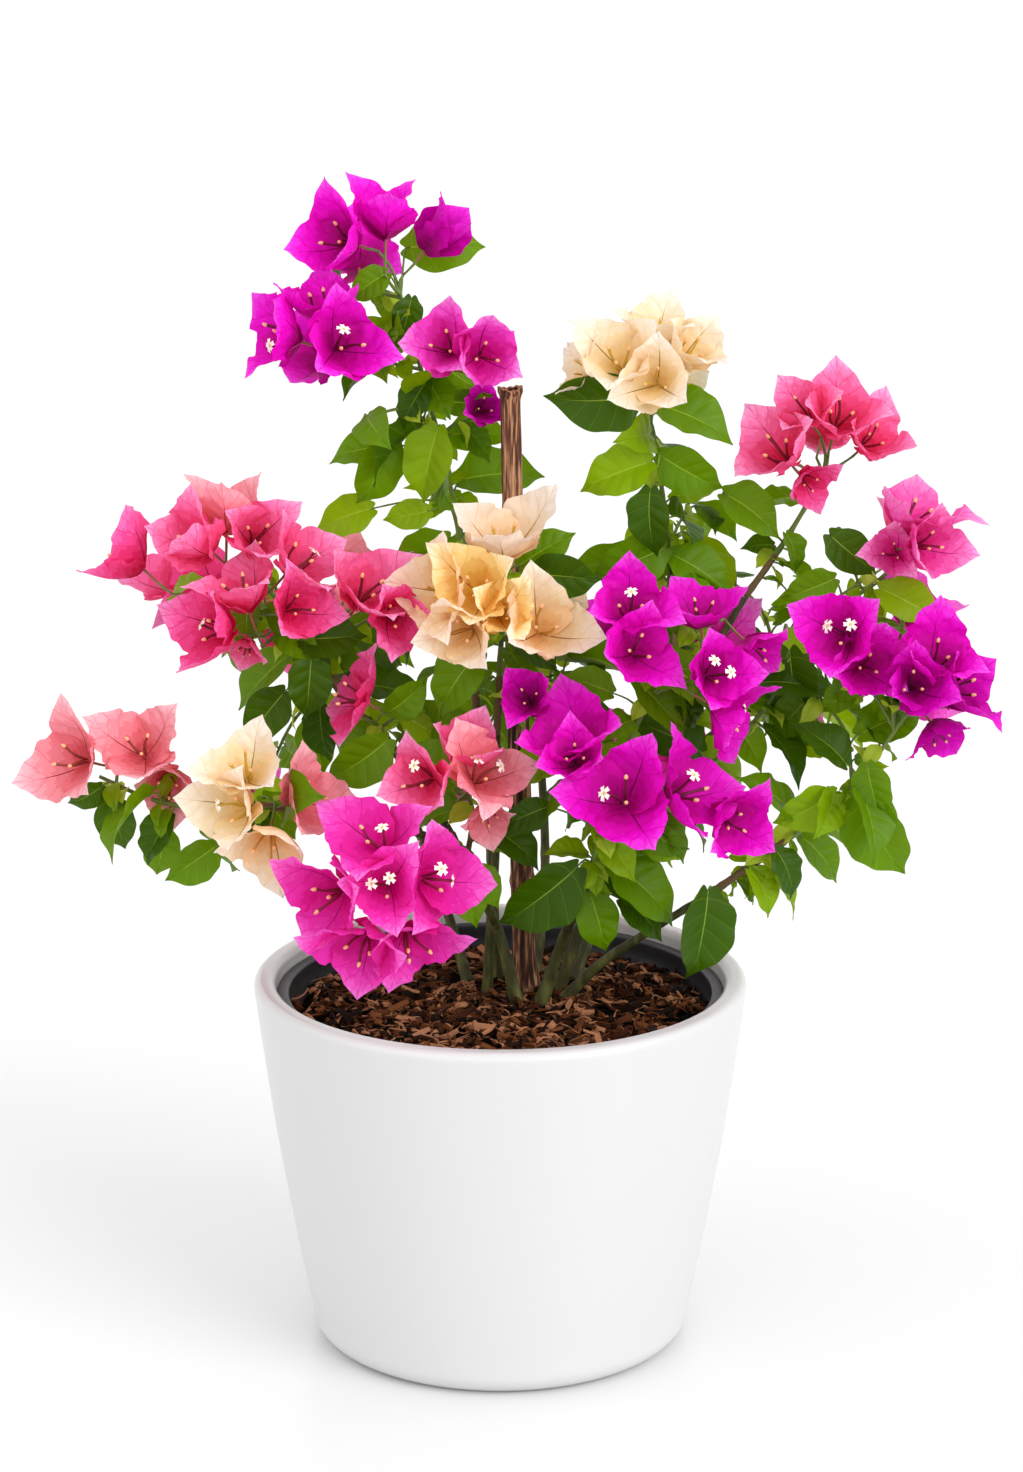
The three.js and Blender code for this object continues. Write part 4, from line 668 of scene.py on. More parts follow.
class SheetForm:
    """A flat veined sheet of length 1 and width 1: its rows follow the side veins out to the edge."""

    def __init__(self, outline_of, veins, swept, lobe, coloured_veins):
        gap = (LAST_VEIN - FIRST_VEIN) / (veins - 1)
        rows = [(0, False), (NECK_ROW, False)]
        for k in range(GAP_ROWS * (veins - 1) + 1):
            s = FIRST_VEIN + gap * k / GAP_ROWS
            if coloured_veins and k % GAP_ROWS == 0:
                rows += [(s - HALF_VEIN, False), (s + HALF_VEIN, True)]
            else:
                rows.append((s, False))
        rows += [(s, False) for s in TIP_ROWS]
        columns = [-u for u in reversed(EDGE_COLUMNS)] + list(EDGE_COLUMNS)
        grid = []
        puff = []
        for s, _ in rows:
            edge = s + swept * s * (1 - s)
            reach = outline_of(edge) / 2 if s else BASE_SHARE / 2
            phase = max((s - FIRST_VEIN) / gap, 0)
            behind = lobe * max(1 - s / LOBES_TO, 0)
            for u in columns:
                bow = math.sin(math.pi * min(abs(u), 1))
                grid.append((u * reach, mix(s, edge, abs(u) ** VEIN_CURVE) - behind * bow))
                puff.append(abs(math.sin(math.pi * phase)) * bow)
        self.flat = np.array(grid + [(0, 1)])
        self.puff = np.array(puff + [0])
        self.share = np.array([abs(u) for _ in rows for u in columns] + [0])
        wide = len(columns)
        self.faces = []
        self.kinds = []
        for r in range(len(rows) - 1):
            for c in range(wide - 1):
                a = r * wide + c
                self.faces.append((a, a + 1, a + wide + 1, a + wide))
                if c == wide // 2 - 1:
                    self.kinds.append("rib" if rows[r][0] < RIB_DARK_TO else "rib_end")
                elif rows[r + 1][1]:
                    self.kinds.append("vein")
                else:
                    self.kinds.append(self.zone(rows[r][0], columns[c] + columns[c + 1], r, c))
        last = (len(rows) - 1) * wide
        for c in range(wide - 1):
            self.faces.append((wide * len(rows), last + c, last + c + 1))
            self.kinds.append(ZONES - 1)

    @staticmethod
    def zone(s, doubled, r, c):
        """Colour zone from the throat, 0, darkened there as painted shade, to the outer part and edges,
        lightened as painted light. A little scatter blends each into the next.
        """
        scatter = ZONE_SCATTER * ((r * 7 + c * 13) % 11 / 10 - 0.5)
        outward = ZONE_ALONG * s + ZONE_ACROSS * (doubled / 2) ** 2 + scatter
        return min(max(int(outward * ZONES), 0), ZONES - 1)

    def shaped(self, sheet, width, shape):
        """The sheet's points in place: bent along its length, folded, rippled and puffed between veins."""
        length, phase, waves = sheet["length"], shape["phase"], shape["waves"]
        t = self.flat[:, 1]
        on_sheet = np.clip(t, 0, 1)
        uneven = np.sin(waves * 1.7 * math.tau * t + 2 * phase + 1.9 * np.sign(self.flat[:, 0]))
        x = self.flat[:, 0] * width * length * (1 + shape["uneven"] * uneven * self.share ** 3)
        throat = (WRAP_THROAT + WRAP_WIDENS * on_sheet) * length
        crease = FOLD_WIDTH * length
        z = shape["wrap"] * (np.sqrt(x ** 2 + throat ** 2) - throat)
        z += shape["fold"] * (np.sqrt(x ** 2 + crease ** 2) - crease)
        z += shape["skew"] * x * (1 - t)
        z -= shape["belly"] * length * np.sin(math.pi * on_sheet ** 0.8)
        z -= shape["curl"] * length * t ** 2
        z -= shape["tip"] * length * np.clip(t - TIP_FROM, 0, 1) ** 2
        side_phase = SIDE_PHASE * np.sign(x)
        wave = np.sin(waves * math.tau * t + phase + side_phase)
        wave += 0.5 * np.sin(2.3 * waves * math.tau * t + 2 * phase - side_phase)
        z += shape["ripple"] * length * self.share ** 2 * wave * np.sin(math.pi * on_sheet)
        crumple = np.sin(19 * x / length + 2 * phase) * np.sin(13 * t + 3 * phase)
        z += shape["crumple"] * length * crumple * self.share * np.clip(t * 3, 0, 1)
        z += shape["puff"] * self.puff
        x = x + shape["bend"] * length * t ** 2
        along, face = np.array(sheet["along"]), np.array(sheet["face"])
        side = np.cross(along, face)
        return np.array(sheet["foot"]) + np.outer(x, side) + np.outer(t * length, along) + np.outer(z, face)


# Tubes
NODE_SWELL = 1.12
NODE_FIRST = 2
NODE_EVERY = 4


def ring_frames(points):
    """Two directions square to the way at each of its points, carried along without twist."""
    frames = []
    first = None
    for i in range(len(points)):
        ahead = (points[min(i + 1, len(points) - 1)] - points[max(i - 1, 0)]).normalized()
        first = squared(first, ahead) if first else across(ahead, 0)
        frames.append((first, ahead.cross(first)))
    return frames


def band(first, sides, rows=1):
    """The faces between rings of points that follow one another from the point numbered first."""
    faces = []
    for row in range(first, first + rows * sides, sides):
        for k in range(sides):
            a, b = row + k, row + (k + 1) % sides
            faces.append((a, b, b + sides, a + sides))
    return faces


def caps(sides, rows):
    """The faces that close a tube of so many bands at its start and its end."""
    return [tuple(reversed(range(sides))), tuple(range(rows * sides, (rows + 1) * sides))]


def tube(batch, points, radii, sides, slots, closed=True):
    """A round tube through points. slots gives each stretch's material slot."""
    rings = []
    for point, pair, radius in zip(points, ring_frames(points), radii):
        rings += [point + spoke(pair, math.tau * k / sides) * radius for k in range(sides)]
    faces = band(0, sides, len(slots))
    kinds = [slot for slot in slots for _ in range(sides)]
    if closed:
        faces += caps(sides, len(slots))
        kinds += [slots[0], slots[-1]]
    batch.add(rings, faces, kinds)


def tapered(batch, way, start_radius, end_radius, step, sides, slot_of):
    """A twig along a way, a little thicker at each node."""
    count = max(3, round(way.length / step))
    points = [way.at(way.length * i / count) for i in range(count + 1)]
    radii = [mix(start_radius, end_radius, i / count) for i in range(count + 1)]
    radii = [r * (NODE_SWELL if i % NODE_EVERY == NODE_FIRST else 1) for i, r in enumerate(radii)]
    tube(batch, points, radii, sides, [slot_of(i / count) for i in range(count)])


# Materials. A grain is its noise's scale and detail, then its bump's strength and depth in metres.
LEAF_GRAIN = (900, 3, 0.25, 0.0004)
BRACT_GRAIN = (700, 4, 0.3, 0.0005)
GLAZE_GRAIN = (9, 3, 0.05, 0.002)
GLAZE_COLOUR = (208, 208, 208)
LINER_COLOUR = (40, 42, 46)
FLOOR_COLOUR = (230, 230, 230)
LINER_GRAIN = (1200, 2, 0.2, 0.0003)
BARK_DETAIL = 6
BARK_BUMP = 0.8
LEAF_ROUGHNESS = 0.38
LEAF_SHINE = 0.18
LEAF_SEE_THROUGH = 0.28
# What light through a leaf does to its red, green and blue: times, then plus
LEAF_GLOW = ((1.3, 20), (1.25, 18), (1, 0))
BRACT_ROUGHNESS = 0.6
BRACT_SHINE = 0.12
BRACT_SEE_THROUGH = 0.35
# Plain looks: colour, roughness, the grain's scale and depth in metres, and the shine where it differs
LOOKS = {
    # The bed's near-black colour is painted shade, standing for the gaps between the chips
    "shaded_mulch_bed": ((14, 6, 2), 0.95, 300, 0.003, 0.1),
    "pith": ((46, 26, 20), 0.9, 500, 0.0008),
    "star_cream": ((250, 244, 226), 0.5, 900, 0.0002),
    "star_eye": ((226, 206, 120), 0.5, 900, 0.0002),
    "bud_tip": ((240, 182, 130), 0.5, 900, 0.0002),
    "twig_green": ((104, 128, 52), 0.55, 400, 0.0006),
    "twig_brown": ((112, 88, 54), 0.7, 400, 0.0008),
    "stalk_red": ((150, 92, 66), 0.55, 400, 0.0004),
}
MULCH_LOOK = (0.8, 500, 0.0012, 0.15)
TUBE_LOOK = (0.55, 900, 0.0003)
# Barks: colours by height, the grain's scale and stretch, its depth in metres, and roughness
BARKS = {
    "bark_old": (((0.38, (40, 20, 14)), (0.5, (104, 60, 40)), (0.62, (196, 148, 106))),
                 480, (1, 1, 0.07), 0.0016, 0.85),
    "cut_wood": (((0.3, (120, 78, 52)), (0.5, (158, 110, 76)), (0.7, (182, 138, 100))),
                 260, (1, 1, 1), 0.0006, 0.85),
    # The young bark's colours are darkened partly to the boughs' own dark olive and partly as painted shade
    # from the crown above them
    "bark_young": (((0.3, (50, 44, 18)), (0.5, (72, 76, 28)), (0.7, (108, 108, 54))),
                   200, (1, 1, 0.2), 0.0007, 0.62),
}
LEAF_VEIN_SHARES = (("blade", 0), ("vein", 0.16), ("rib", 0.6))
RIB_END_SHARE = 0.55
BRACT_VEIN_SHARE = 0.45


def set_inputs(material, node, **inputs):
    """Sets a node's inputs to values or links them to outputs. An underscore stands for a space."""
    for name, value in inputs.items():
        socket = node.inputs[name.replace("_", " ")]
        if isinstance(value, bpy.types.NodeSocket):
            material.node_tree.links.new(value, socket)
        else:
            socket.default_value = value


def add_node(material, kind, **inputs):
    node = material.node_tree.nodes.new(f"ShaderNode{kind}")
    set_inputs(material, node, **inputs)
    return node


def shader_of(material):
    return material.node_tree.nodes["Principled BSDF"]


def principled(name, colour, roughness, **inputs):
    material = bpy.data.materials.new(name)
    material.use_nodes = True
    set_inputs(material, shader_of(material), Base_Color=linear(colour), Roughness=roughness, **inputs)
    material.diffuse_color = linear(colour)
    return material


def add_noise(material, scale, detail, stretch=None):
    """The height output of a noise texture over the piece's own space."""
    place = add_node(material, "TexCoord").outputs["Object"]
    if stretch:
        place = add_node(material, "Mapping", Vector=place, Scale=stretch).outputs["Vector"]
    return add_node(material, "TexNoise", Vector=place, Scale=scale, Detail=detail).outputs["Fac"]


def add_bump(material, height, strength, depth):
    bump = add_node(material, "Bump", Height=height, Strength=strength, Distance=depth)
    set_inputs(material, shader_of(material), Normal=bump.outputs["Normal"])


def colour_by(material, value, stops):
    """Colours the material by a value through a ramp of (place, sRGB colour) stops."""
    ramp = add_node(material, "ValToRGB", Fac=value)
    while len(ramp.color_ramp.elements) < len(stops):
        ramp.color_ramp.elements.new(0.5)
    for element, (place, colour) in zip(ramp.color_ramp.elements, stops):
        element.position = place
        element.color = linear(colour)
    set_inputs(material, shader_of(material), Base_Color=ramp.outputs["Color"])


def add_translucency(material, colour, share):
    """Light from behind shows through a thin sheet."""
    through = add_node(material, "BsdfTranslucent", Color=linear(colour)).outputs["BSDF"]
    both = add_node(material, "MixShader", Fac=share)
    material.node_tree.links.new(shader_of(material).outputs["BSDF"], both.inputs[1])
    material.node_tree.links.new(through, both.inputs[2])
    set_inputs(material, material.node_tree.nodes["Material Output"], Surface=both.outputs["Shader"])


def grained(name, colour, roughness, grain, **sockets):
    material = principled(name, colour, roughness, **sockets)
    scale, detail, strength, depth = grain
    add_bump(material, add_noise(material, scale, detail), strength, depth)
    return material


def plain_material(name, colour, roughness, scale, depth, shine=0.5):
    return grained(name, colour, roughness, (scale, 4, 0.5, depth), Specular_IOR_Level=shine)


def looks(*names):
    return [plain_material(name, *LOOKS[name]) for name in names]


def bark_material(name):
    stops, scale, stretch, depth, roughness = BARKS[name]
    material = principled(name, stops[1][1], roughness)
    height = add_noise(material, scale, BARK_DETAIL, stretch)
    colour_by(material, height, stops)
    add_bump(material, height, BARK_BUMP, depth)
    return material


def blended(a, b, share):
    return tuple(mix(x, y, share) for x, y in zip(a, b))


def leaf_materials(name, blade):
    """A leaf's blade, side veins and midrib."""
    materials = []
    for part, share in LEAF_VEIN_SHARES:
        colour = blended(blade, LEAF_VEIN, share)
        material = grained(f"{name}_{part}", colour, LEAF_ROUGHNESS, LEAF_GRAIN,
                           Specular_IOR_Level=LEAF_SHINE)
        glow = tuple(min(255, c * times + plus) for c, (times, plus) in zip(colour, LEAF_GLOW))
        add_translucency(material, glow, LEAF_SEE_THROUGH)
        materials.append(material)
    return materials


def bract_materials(name, colours):
    """A bract's colour steps from the throat, darkened as painted shade, out to the outer part, lightened as
    painted light; then the midrib's dark foot, its faint end and the veins.
    """
    throat, middle, outer, rib, _ = colours
    half = (ZONES - 1) / 2
    # From the throat's painted shade through the middle to painted light on the outer part
    shade_to_light_zones = [blended(throat, middle, z / half) if z < half else blended(middle, outer, z / half - 1)
             for z in range(ZONES)]
    parts = [(f"shade_to_light_zone_{z}", colour) for z, colour in enumerate(shade_to_light_zones)]
    parts += [("rib", rib), ("rib_end", blended(rib, middle, RIB_END_SHARE)),
              ("vein", blended(throat, middle, BRACT_VEIN_SHARE))]
    materials = []
    for part, colour in parts:
        material = grained(f"bract_{name}_{part}", colour, BRACT_ROUGHNESS, BRACT_GRAIN,
                           Specular_IOR_Level=BRACT_SHINE)
        add_translucency(material, colour, BRACT_SEE_THROUGH)
        materials.append(material)
    return materials


# Pot, inner pot and mulch
def pot_outer(z):
    bow = POT_BOW * math.sin(math.pi * z / POT_HEIGHT)
    return mix(POT_BASE_RADIUS, POT_TOP_RADIUS, z / POT_HEIGHT) + bow


def pot_inner(z):
    return pot_outer(z) - mix(POT_WALL_AT_FOOT, POT_RIM_WIDTH, z / POT_HEIGHT)


def liner_outer(z):
    return pot_inner(z) - LINER_SIDE_GAP


def arc(x, y, radius, start, end, steps):
    turns = [math.radians(mix(start, end, i / steps)) for i in range(steps + 1)]
    return [(x + radius * math.cos(t), y + radius * math.sin(t)) for t in turns]


def turned(name, profile, material):
    """A profile of radius and height turned about the vertical axis, and closed at both ends."""
    batch = Batch()
    points = [(r * math.cos(math.tau * k / ROUND_STEPS), r * math.sin(math.tau * k / ROUND_STEPS), z)
              for r, z in profile for k in range(ROUND_STEPS)]
    rows = len(profile) - 1
    faces = band(0, ROUND_STEPS, rows) + caps(ROUND_STEPS, rows)
    batch.add(points, faces, [0] * len(faces))
    return batch.build(name, [material])


def make_pot():
    fillet, rounding = POT_FOOT_FILLET, POT_RIM_ROUND
    rim = POT_HEIGHT - rounding
    heights = [mix(fillet + 2, rim - 2, i / POT_SIDE_STEPS) for i in range(POT_SIDE_STEPS + 1)]
    profile = arc(pot_outer(fillet) - fillet, fillet, fillet, *POT_FOOT_DEGREES, POT_ARC_STEPS)
    profile += [(pot_outer(z), z) for z in heights]
    profile += arc(pot_outer(rim) - rounding, rim, rounding, 0, 90, RIM_ARC_STEPS)
    profile += arc(pot_inner(rim) + rounding, rim, rounding, 90, 180, RIM_ARC_STEPS)
    profile += [(pot_inner(z), z) for z in reversed(heights)]
    profile += [(pot_inner(POT_FLOOR), POT_FLOOR)]
    glaze = grained("pot_glaze", GLAZE_COLOUR, 0.3, GLAZE_GRAIN, Specular_IOR_Level=0.5, Coat_Weight=0.3,
                    Coat_Roughness=0.1)
    pot = turned("pot_body", profile, glaze)
    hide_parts("pot")


def make_liner():
    under = LINER_TOP - LINER_LIP_DEPTH
    lip = pot_inner(LINER_TOP) - CLEAR
    floor = POT_FLOOR + CLEAR
    inside = liner_outer(under) - LINER_WALL
    profile = [(liner_outer(floor), floor), (liner_outer(under), under), (pot_inner(under) - CLEAR, under)]
    profile += [(lip, LINER_TOP - LIP_BEVEL), (lip - LIP_BEVEL_MIDDLE, LINER_TOP - LIP_BEVEL_MIDDLE),
                (lip - LIP_BEVEL, LINER_TOP)]
    inner_lip = lip - LINER_LIP_WIDTH + LIP_ROUND
    profile += arc(inner_lip, LINER_TOP - LIP_ROUND, LIP_ROUND, 90, 180, LIP_ARC_STEPS)
    profile += [(inside, under - 1), (inside - LINER_TAPER, MULCH_TOP - LINER_BELOW_MULCH)]
    liner = turned("liner_shell", profile, grained("liner_plastic", LINER_COLOUR, 0.42, LINER_GRAIN))
    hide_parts("liner")


MULCH_BROWNS = ((42, 18, 5), (60, 28, 9), (84, 43, 17), (112, 66, 34), (20, 7, 2), (170, 118, 84))
MULCH_SEED = 4021
MULCH_EDGE_CLEAR = 0.8
MULCH_DIP = 3
MULCH_EDGE_DROP = 4
BED_RINGS = 26
BED_SIDES = 96
BED_BELOW_CHIPS = 3.5
BED_ROUGH = 2.4
CHIP_COUNT = 1700
CHIP_REACH = 0.985
CHIP_HEIGHTS = (-2, 8)
CHIP_LENGTH = (6, 10)
CHIP_SHORTNESS = 1.4
CHIP_WIDTH = (1.6, 3.2)
CHIP_THICKNESS = (0.6, 0.7)
CHIP_TAPER = 0.55
CHIP_ROWS = 4
CHIP_COLUMNS = 3
CHIP_EDGE = (0, 1, 2, 5, 8, 11, 10, 9, 6, 3)
CHIP_TILT = 1.1
CHIP_FACES_UP = 1.7
CHIP_BEND = 0.7
CHIP_BENT_BACK = 0.25
FIBRE_COUNT = 900
FIBRE_REACH = 0.98
FIBRE_HEIGHTS = (2, 2.5)
FIBRE_LENGTH = (5, 12)
FIBRE_RADIUS = (0.25, 0.35)
FIBRE_TAPER = (0.5, 1, 1, 0.9, 0.4)
FIBRE_FIRST_BROWN = 2


def mulch_height(x, y):
    """The bed's uneven top, a little lower at its edge."""
    far = math.hypot(x, y) / liner_outer(MULCH_TOP)
    bumps = 1.6 * math.sin(0.11 * x + 1.3) * math.cos(0.13 * y) + 1.2 * math.sin(0.23 * x - 0.19 * y)
    return MULCH_TOP - MULCH_DIP + bumps - MULCH_EDGE_DROP * far ** 4


def make_mulch():
    random = seeded(MULCH_SEED)
    reach = liner_outer(MULCH_TOP) - LINER_WALL - MULCH_EDGE_CLEAR
    make_bed(reach, random)
    browns = [plain_material(f"mulch_brown_{i}", brown, *MULCH_LOOK) for i, brown in enumerate(MULCH_BROWNS)]
    chips = Batch()
    for _ in range(CHIP_COUNT):
        chip(chips, scattered(reach * CHIP_REACH, CHIP_HEIGHTS, random), random)
    for _ in range(FIBRE_COUNT):
        fibre(chips, scattered(reach * FIBRE_REACH, FIBRE_HEIGHTS, random), random)
    piece = chips.build("mulch_chips", browns, smooth=False)


def make_bed(reach, random):
    """The ground under the chips, painted near-black as shade in the gaps between them."""
    points = [(0, 0, mulch_height(0, 0) - BED_BELOW_CHIPS)]
    for i in range(1, BED_RINGS + 1):
        for k in range(BED_SIDES):
            radius, turn = reach * i / BED_RINGS, math.tau * k / BED_SIDES
            x, y = radius * math.cos(turn), radius * math.sin(turn)
            points.append((x, y, mulch_height(x, y) - BED_BELOW_CHIPS + swing(BED_ROUGH, random)))
    faces = [(0, 1 + k, 1 + (k + 1) % BED_SIDES) for k in range(BED_SIDES)]
    faces += [(a, d, c, b) for a, b, c, d in band(1, BED_SIDES, BED_RINGS - 1)]
    bed = Batch()
    bed.add(points, faces, [0] * len(faces))
    ground = bed.build("shaded_mulch_bed", looks("shaded_mulch_bed"))
    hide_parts("mulch")


def scattered(reach, heights, random):
    """A place over the bed, spread evenly within reach of its middle."""
    radius, turn = reach * math.sqrt(random()), math.tau * random()
    x, y = radius * math.cos(turn), radius * math.sin(turn)
    return Vector((x, y, mulch_height(x, y) + heights[0] + heights[1] * random()))


def random_direction(random, lift):
    turn = math.tau * random()
    return Vector((math.cos(turn), math.sin(turn), swing(lift, random))).normalized()


def chip(batch, centre, random):
    """A curled flake of bark: a bent plate with ragged ends."""
    long_way = random_direction(random, CHIP_TILT)
    face = squared(UP + random_direction(random, 1) * CHIP_FACES_UP, long_way)
    side = long_way.cross(face)
    length = CHIP_LENGTH[0] + CHIP_LENGTH[1] * random() ** CHIP_SHORTNESS
    width = vary(CHIP_WIDTH, random)
    thick = vary(CHIP_THICKNESS, random)
    bend = CHIP_BEND * (random() - CHIP_BENT_BACK)
    # The last brown is drawn twice as often as each of the others
    brown = min(int(random() * (len(MULCH_BROWNS) + 1)), len(MULCH_BROWNS) - 1)
    points = []
    for layer in (0, 1):
        for i in range(CHIP_ROWS):
            for j in range(CHIP_COLUMNS):
                u, v = i / (CHIP_ROWS - 1) - 0.5, j / (CHIP_COLUMNS - 1) - 0.5
                taper = 1 - CHIP_TAPER * abs(u) * 2 * random()
                lift = thick * layer - bend * length * (2 * u) ** 2 - 0.5 * width * bend * (2 * v) ** 2
                ragged = swing(0.5, random)
                points.append(centre + long_way * (u * length + ragged)
                              + side * (v * width * taper + ragged) + face * (lift + ragged * 0.6))
    above = CHIP_ROWS * CHIP_COLUMNS
    faces = []
    for i in range(CHIP_ROWS - 1):
        for j in range(CHIP_COLUMNS - 1):
            a = i * CHIP_COLUMNS + j
            b = a + CHIP_COLUMNS
            faces.append((a, b, b + 1, a + 1))
            faces.append((a + above, a + 1 + above, b + 1 + above, b + above))
    for a, b in zip(CHIP_EDGE, CHIP_EDGE[1:] + CHIP_EDGE[:1]):
        faces.append((a, b, b + above, a + above))
    batch.add(points, faces, [brown] * len(faces))


def fibre(batch, centre, random):
    """A thin curved shred of husk."""
    ahead = random_direction(random, 0.8)
    side = across(ahead, math.tau * random())
    length, bend = vary(FIBRE_LENGTH, random), 0.5 * (random() - 0.3)
    shares = [i / 4 - 0.5 for i in range(5)]
    points = [centre + ahead * length * share + side * bend * length * share ** 2 * 2 for share in shares]
    radius = vary(FIBRE_RADIUS, random)
    brown = FIBRE_FIRST_BROWN + int(random() * (len(MULCH_BROWNS) - FIBRE_FIRST_BROWN))
    tube(batch, points, [radius * taper for taper in FIBRE_TAPER], 4, [brown] * 4)


# Trunk and boughs. Bark has its number of sides, its rings' spacing and the height of its ridges.
TRUNK_SIDES = 40
TRUNK_BARK = (TRUNK_SIDES, 2.2, 0.5)
TRUNK_KNOTS = (70, 150, 236, 300)
CUT_SWELLS = (1.16, 1.2, 1.08, 1.02)
# The cut top from its rim inwards: share of the rim's reach, rise, and material slot
CUT_TOP = ((0.84, 0.5, 1), (0.76, -0.4, 1), (0.62, -1.2, 2), (0.5, -3.2, 2), (0.2, -4, 2))
BOUGH_SIDES = 20
BOUGH_BARK = (BOUGH_SIDES, 2, 0.1)
BOUGH_SLIM = 0.88
BOUGH_FIRST_NODE = 22
BOUGH_NODE_SPACING = 27
FLARE_HEIGHT = 12
KNOT_WIDTH = 3.5
KNOT_SWELL = 0.13
BARK_GROOVES = 5


def ridge(turn, distance, grooves, seed):
    """Height of bark ridges from -1 to 1, winding slowly up the limb."""
    slow = math.sin(grooves * turn + 0.012 * distance + seed)
    fast = math.sin((grooves * 2 + 1) * turn - 0.021 * distance + 2 * seed)
    cracks = math.sin(0.09 * distance + 3 * math.sin(turn + seed))
    return 0.55 * slow + 0.3 * fast + 0.15 * cracks


def bark_tube(limb, way, sides, step, relief, knots, slim=1.0):
    """The rings and faces of a limb with bark in relief, knots and a flared foot. slim thins it."""
    count = round(way.length / step)
    points = [way.at(way.length * i / count) for i in range(count + 1)]
    seed = len(limb["name"])
    rings = []
    for i, (point, pair) in enumerate(zip(points, ring_frames(points))):
        distance = way.length * i / count
        flare = limb["flare"] * math.exp(-distance / FLARE_HEIGHT)
        radius = slim * (mix(*limb["radius"], i / count) + flare)
        swelling = sum(math.exp(-((distance - knot) / KNOT_WIDTH) ** 2) for knot in knots)
        for k in range(sides):
            turn = math.tau * k / sides
            wide = radius * (1 + KNOT_SWELL * swelling) + relief * ridge(turn, distance, BARK_GROOVES, seed)
            rings.append(point + spoke(pair, turn) * wide)
    return rings, band(0, sides, count), points


def make_trunk(way):
    rings, faces, points = bark_tube(LIMBS[0], way, *TRUNK_BARK, TRUNK_KNOTS)
    turns = [math.tau * k / TRUNK_SIDES for k in range(TRUNK_SIDES)]
    top = len(rings) - TRUNK_SIDES
    for back, swell in enumerate(CUT_SWELLS):
        axis = points[-1 - back]
        for i, turn in enumerate(turns, top - back * TRUNK_SIDES):
            ragged = 0.06 * math.sin(3 * turn + back) + 0.04 * math.sin(7 * turn)
            rings[i] = axis + (rings[i] - axis) * (swell + ragged)
    for i, turn in enumerate(turns, top):
        rings[i] += UP * (0.9 * math.sin(2 * turn + 1) + 0.5 * math.sin(9 * turn))
    rim = rings[top:]
    for share, rise, _ in CUT_TOP:
        rings += [points[-1].lerp(place, share) + UP * rise for place in rim]
    slots = [0] * len(faces) + [slot for _, _, slot in CUT_TOP for _ in turns] + [CUT_TOP[-1][2]]
    faces += band(top, TRUNK_SIDES, len(CUT_TOP))
    faces.append(tuple(range(len(rings) - TRUNK_SIDES, len(rings))))
    batch = Batch()
    batch.add(rings, faces, slots)
    materials = [bark_material("bark_old"), bark_material("cut_wood")] + looks("pith")
    trunk = batch.build("trunk_bark", materials)
    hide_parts("trunk_cut_back")


def make_boughs(ways):
    # The young bark holds painted shade from the crown as well as the boughs' own dark olive
    young = bark_material("bark_young")
    for limb in LIMBS[1:]:
        batch = Batch()
        way = ways[limb["name"]]
        nodes = int(way.length / BOUGH_NODE_SPACING)
        knots = [BOUGH_FIRST_NODE + BOUGH_NODE_SPACING * i for i in range(nodes)]
        rings, faces, points = bark_tube(limb, way, *BOUGH_BARK, knots, BOUGH_SLIM)
        faces += caps(BOUGH_SIDES, len(points) - 1)
        batch.add(rings, faces, [0] * len(faces))
        bough = batch.build(f"{limb['name']}_bark", [young])
        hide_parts(limb["name"])


# Foliage
LEAF_FORM = SheetForm(leaf_outline, 6, 0.85, 0.07, True)
SMALL_LEAF_FORM = SheetForm(leaf_outline, 3, 0.85, 0.05, False)
BRACT_FORM = SheetForm(bract_outline, 6, 0.9, 0.03, True)
# Shapes of sheets: a pair is drawn for each one, in this order, and then the bend to one side
LEAF_SHAPE = dict(wrap=(0, -0.12), fold=(0.2, 0.4), skew=0, belly=(-0.02, -0.07), curl=(0.02, 0.2),
                  tip=(0.3, 1.2), waves=(1.1, 0.9), phase=(0, 6), ripple=(0.014, 0.03), crumple=0.006,
                  puff=0.95, uneven=0.03, bend=0.2)
BRACT_SHAPE = dict(wrap=(0.35, 0.5), fold=(0.06, 0.24), skew=0.16, belly=(0.06, 0.1), curl=(-0.08, 0.26),
                   tip=(0.2, 1.8), waves=(1.6, 1.6), phase=(0, 6), ripple=(0.03, 0.04),
                   crumple=(0.01, 0.01), puff=0.85, uneven=0.05, bend=0.16)
# Material slots: in the record for each kind of piece, then in the joined meshes
SLOTS = {"leaves": "leaf_green", "bracts": "bract_magenta", "tubes": "bract_cream", "twigs": "bark_young"}
LEAF_PART_SLOTS = {"rib": 2, "rib_end": 2, "vein": 1}
LEAF_SLOTS = 3
BRACT_PART_SLOTS = {"rib": ZONES, "rib_end": ZONES + 1, "vein": ZONES + 2}
BRACT_SLOTS = ZONES + 3
TINT_NAMES = list(TINTS)
# Leaf tones by their place in LEAF_TONES, as often as each is drawn
TONES_DRAWN = (0, 0, 1, 0, 2, 1, 0, 2)
FRESH_TONE = 1
YOUNG_TONE = 3
LEAF_ROLL = math.radians(35)
LEAF_CLEAR_PLACES = (0.3, 0.6, 0.9)
LEAF_CLEAR = 2
LIMB_STEP = 4
SHOOT_SHARE = 0.55
SHOOT_LEAF = 17
SHOOT_TURN = 2.6
FILL_BARE = 3
FILL_SPACING = 20
FILL_SIZE = 0.72
FILL_END_SIZE = 0.8
FILL_INSIDE = 3
FLOWER_ROOM = 24
DRESS_SEED = 977
FILL_SEED = 1489
# Gaps seen through the crown from front to back: middle across, middle up and radius
CROWN_GAPS = ((-205, 415, 38), (-140, 396, 42), (-95, 560, 44), (22, 575, 34), (45, 540, 24),
              (150, 560, 30), (-150, 560, 60), (225, 520, 26), (190, 478, 22), (-80, 330, 22),
              (215, 300, 40), (-262, 330, 40), (-72, 433, 20), (158, 363, 22))
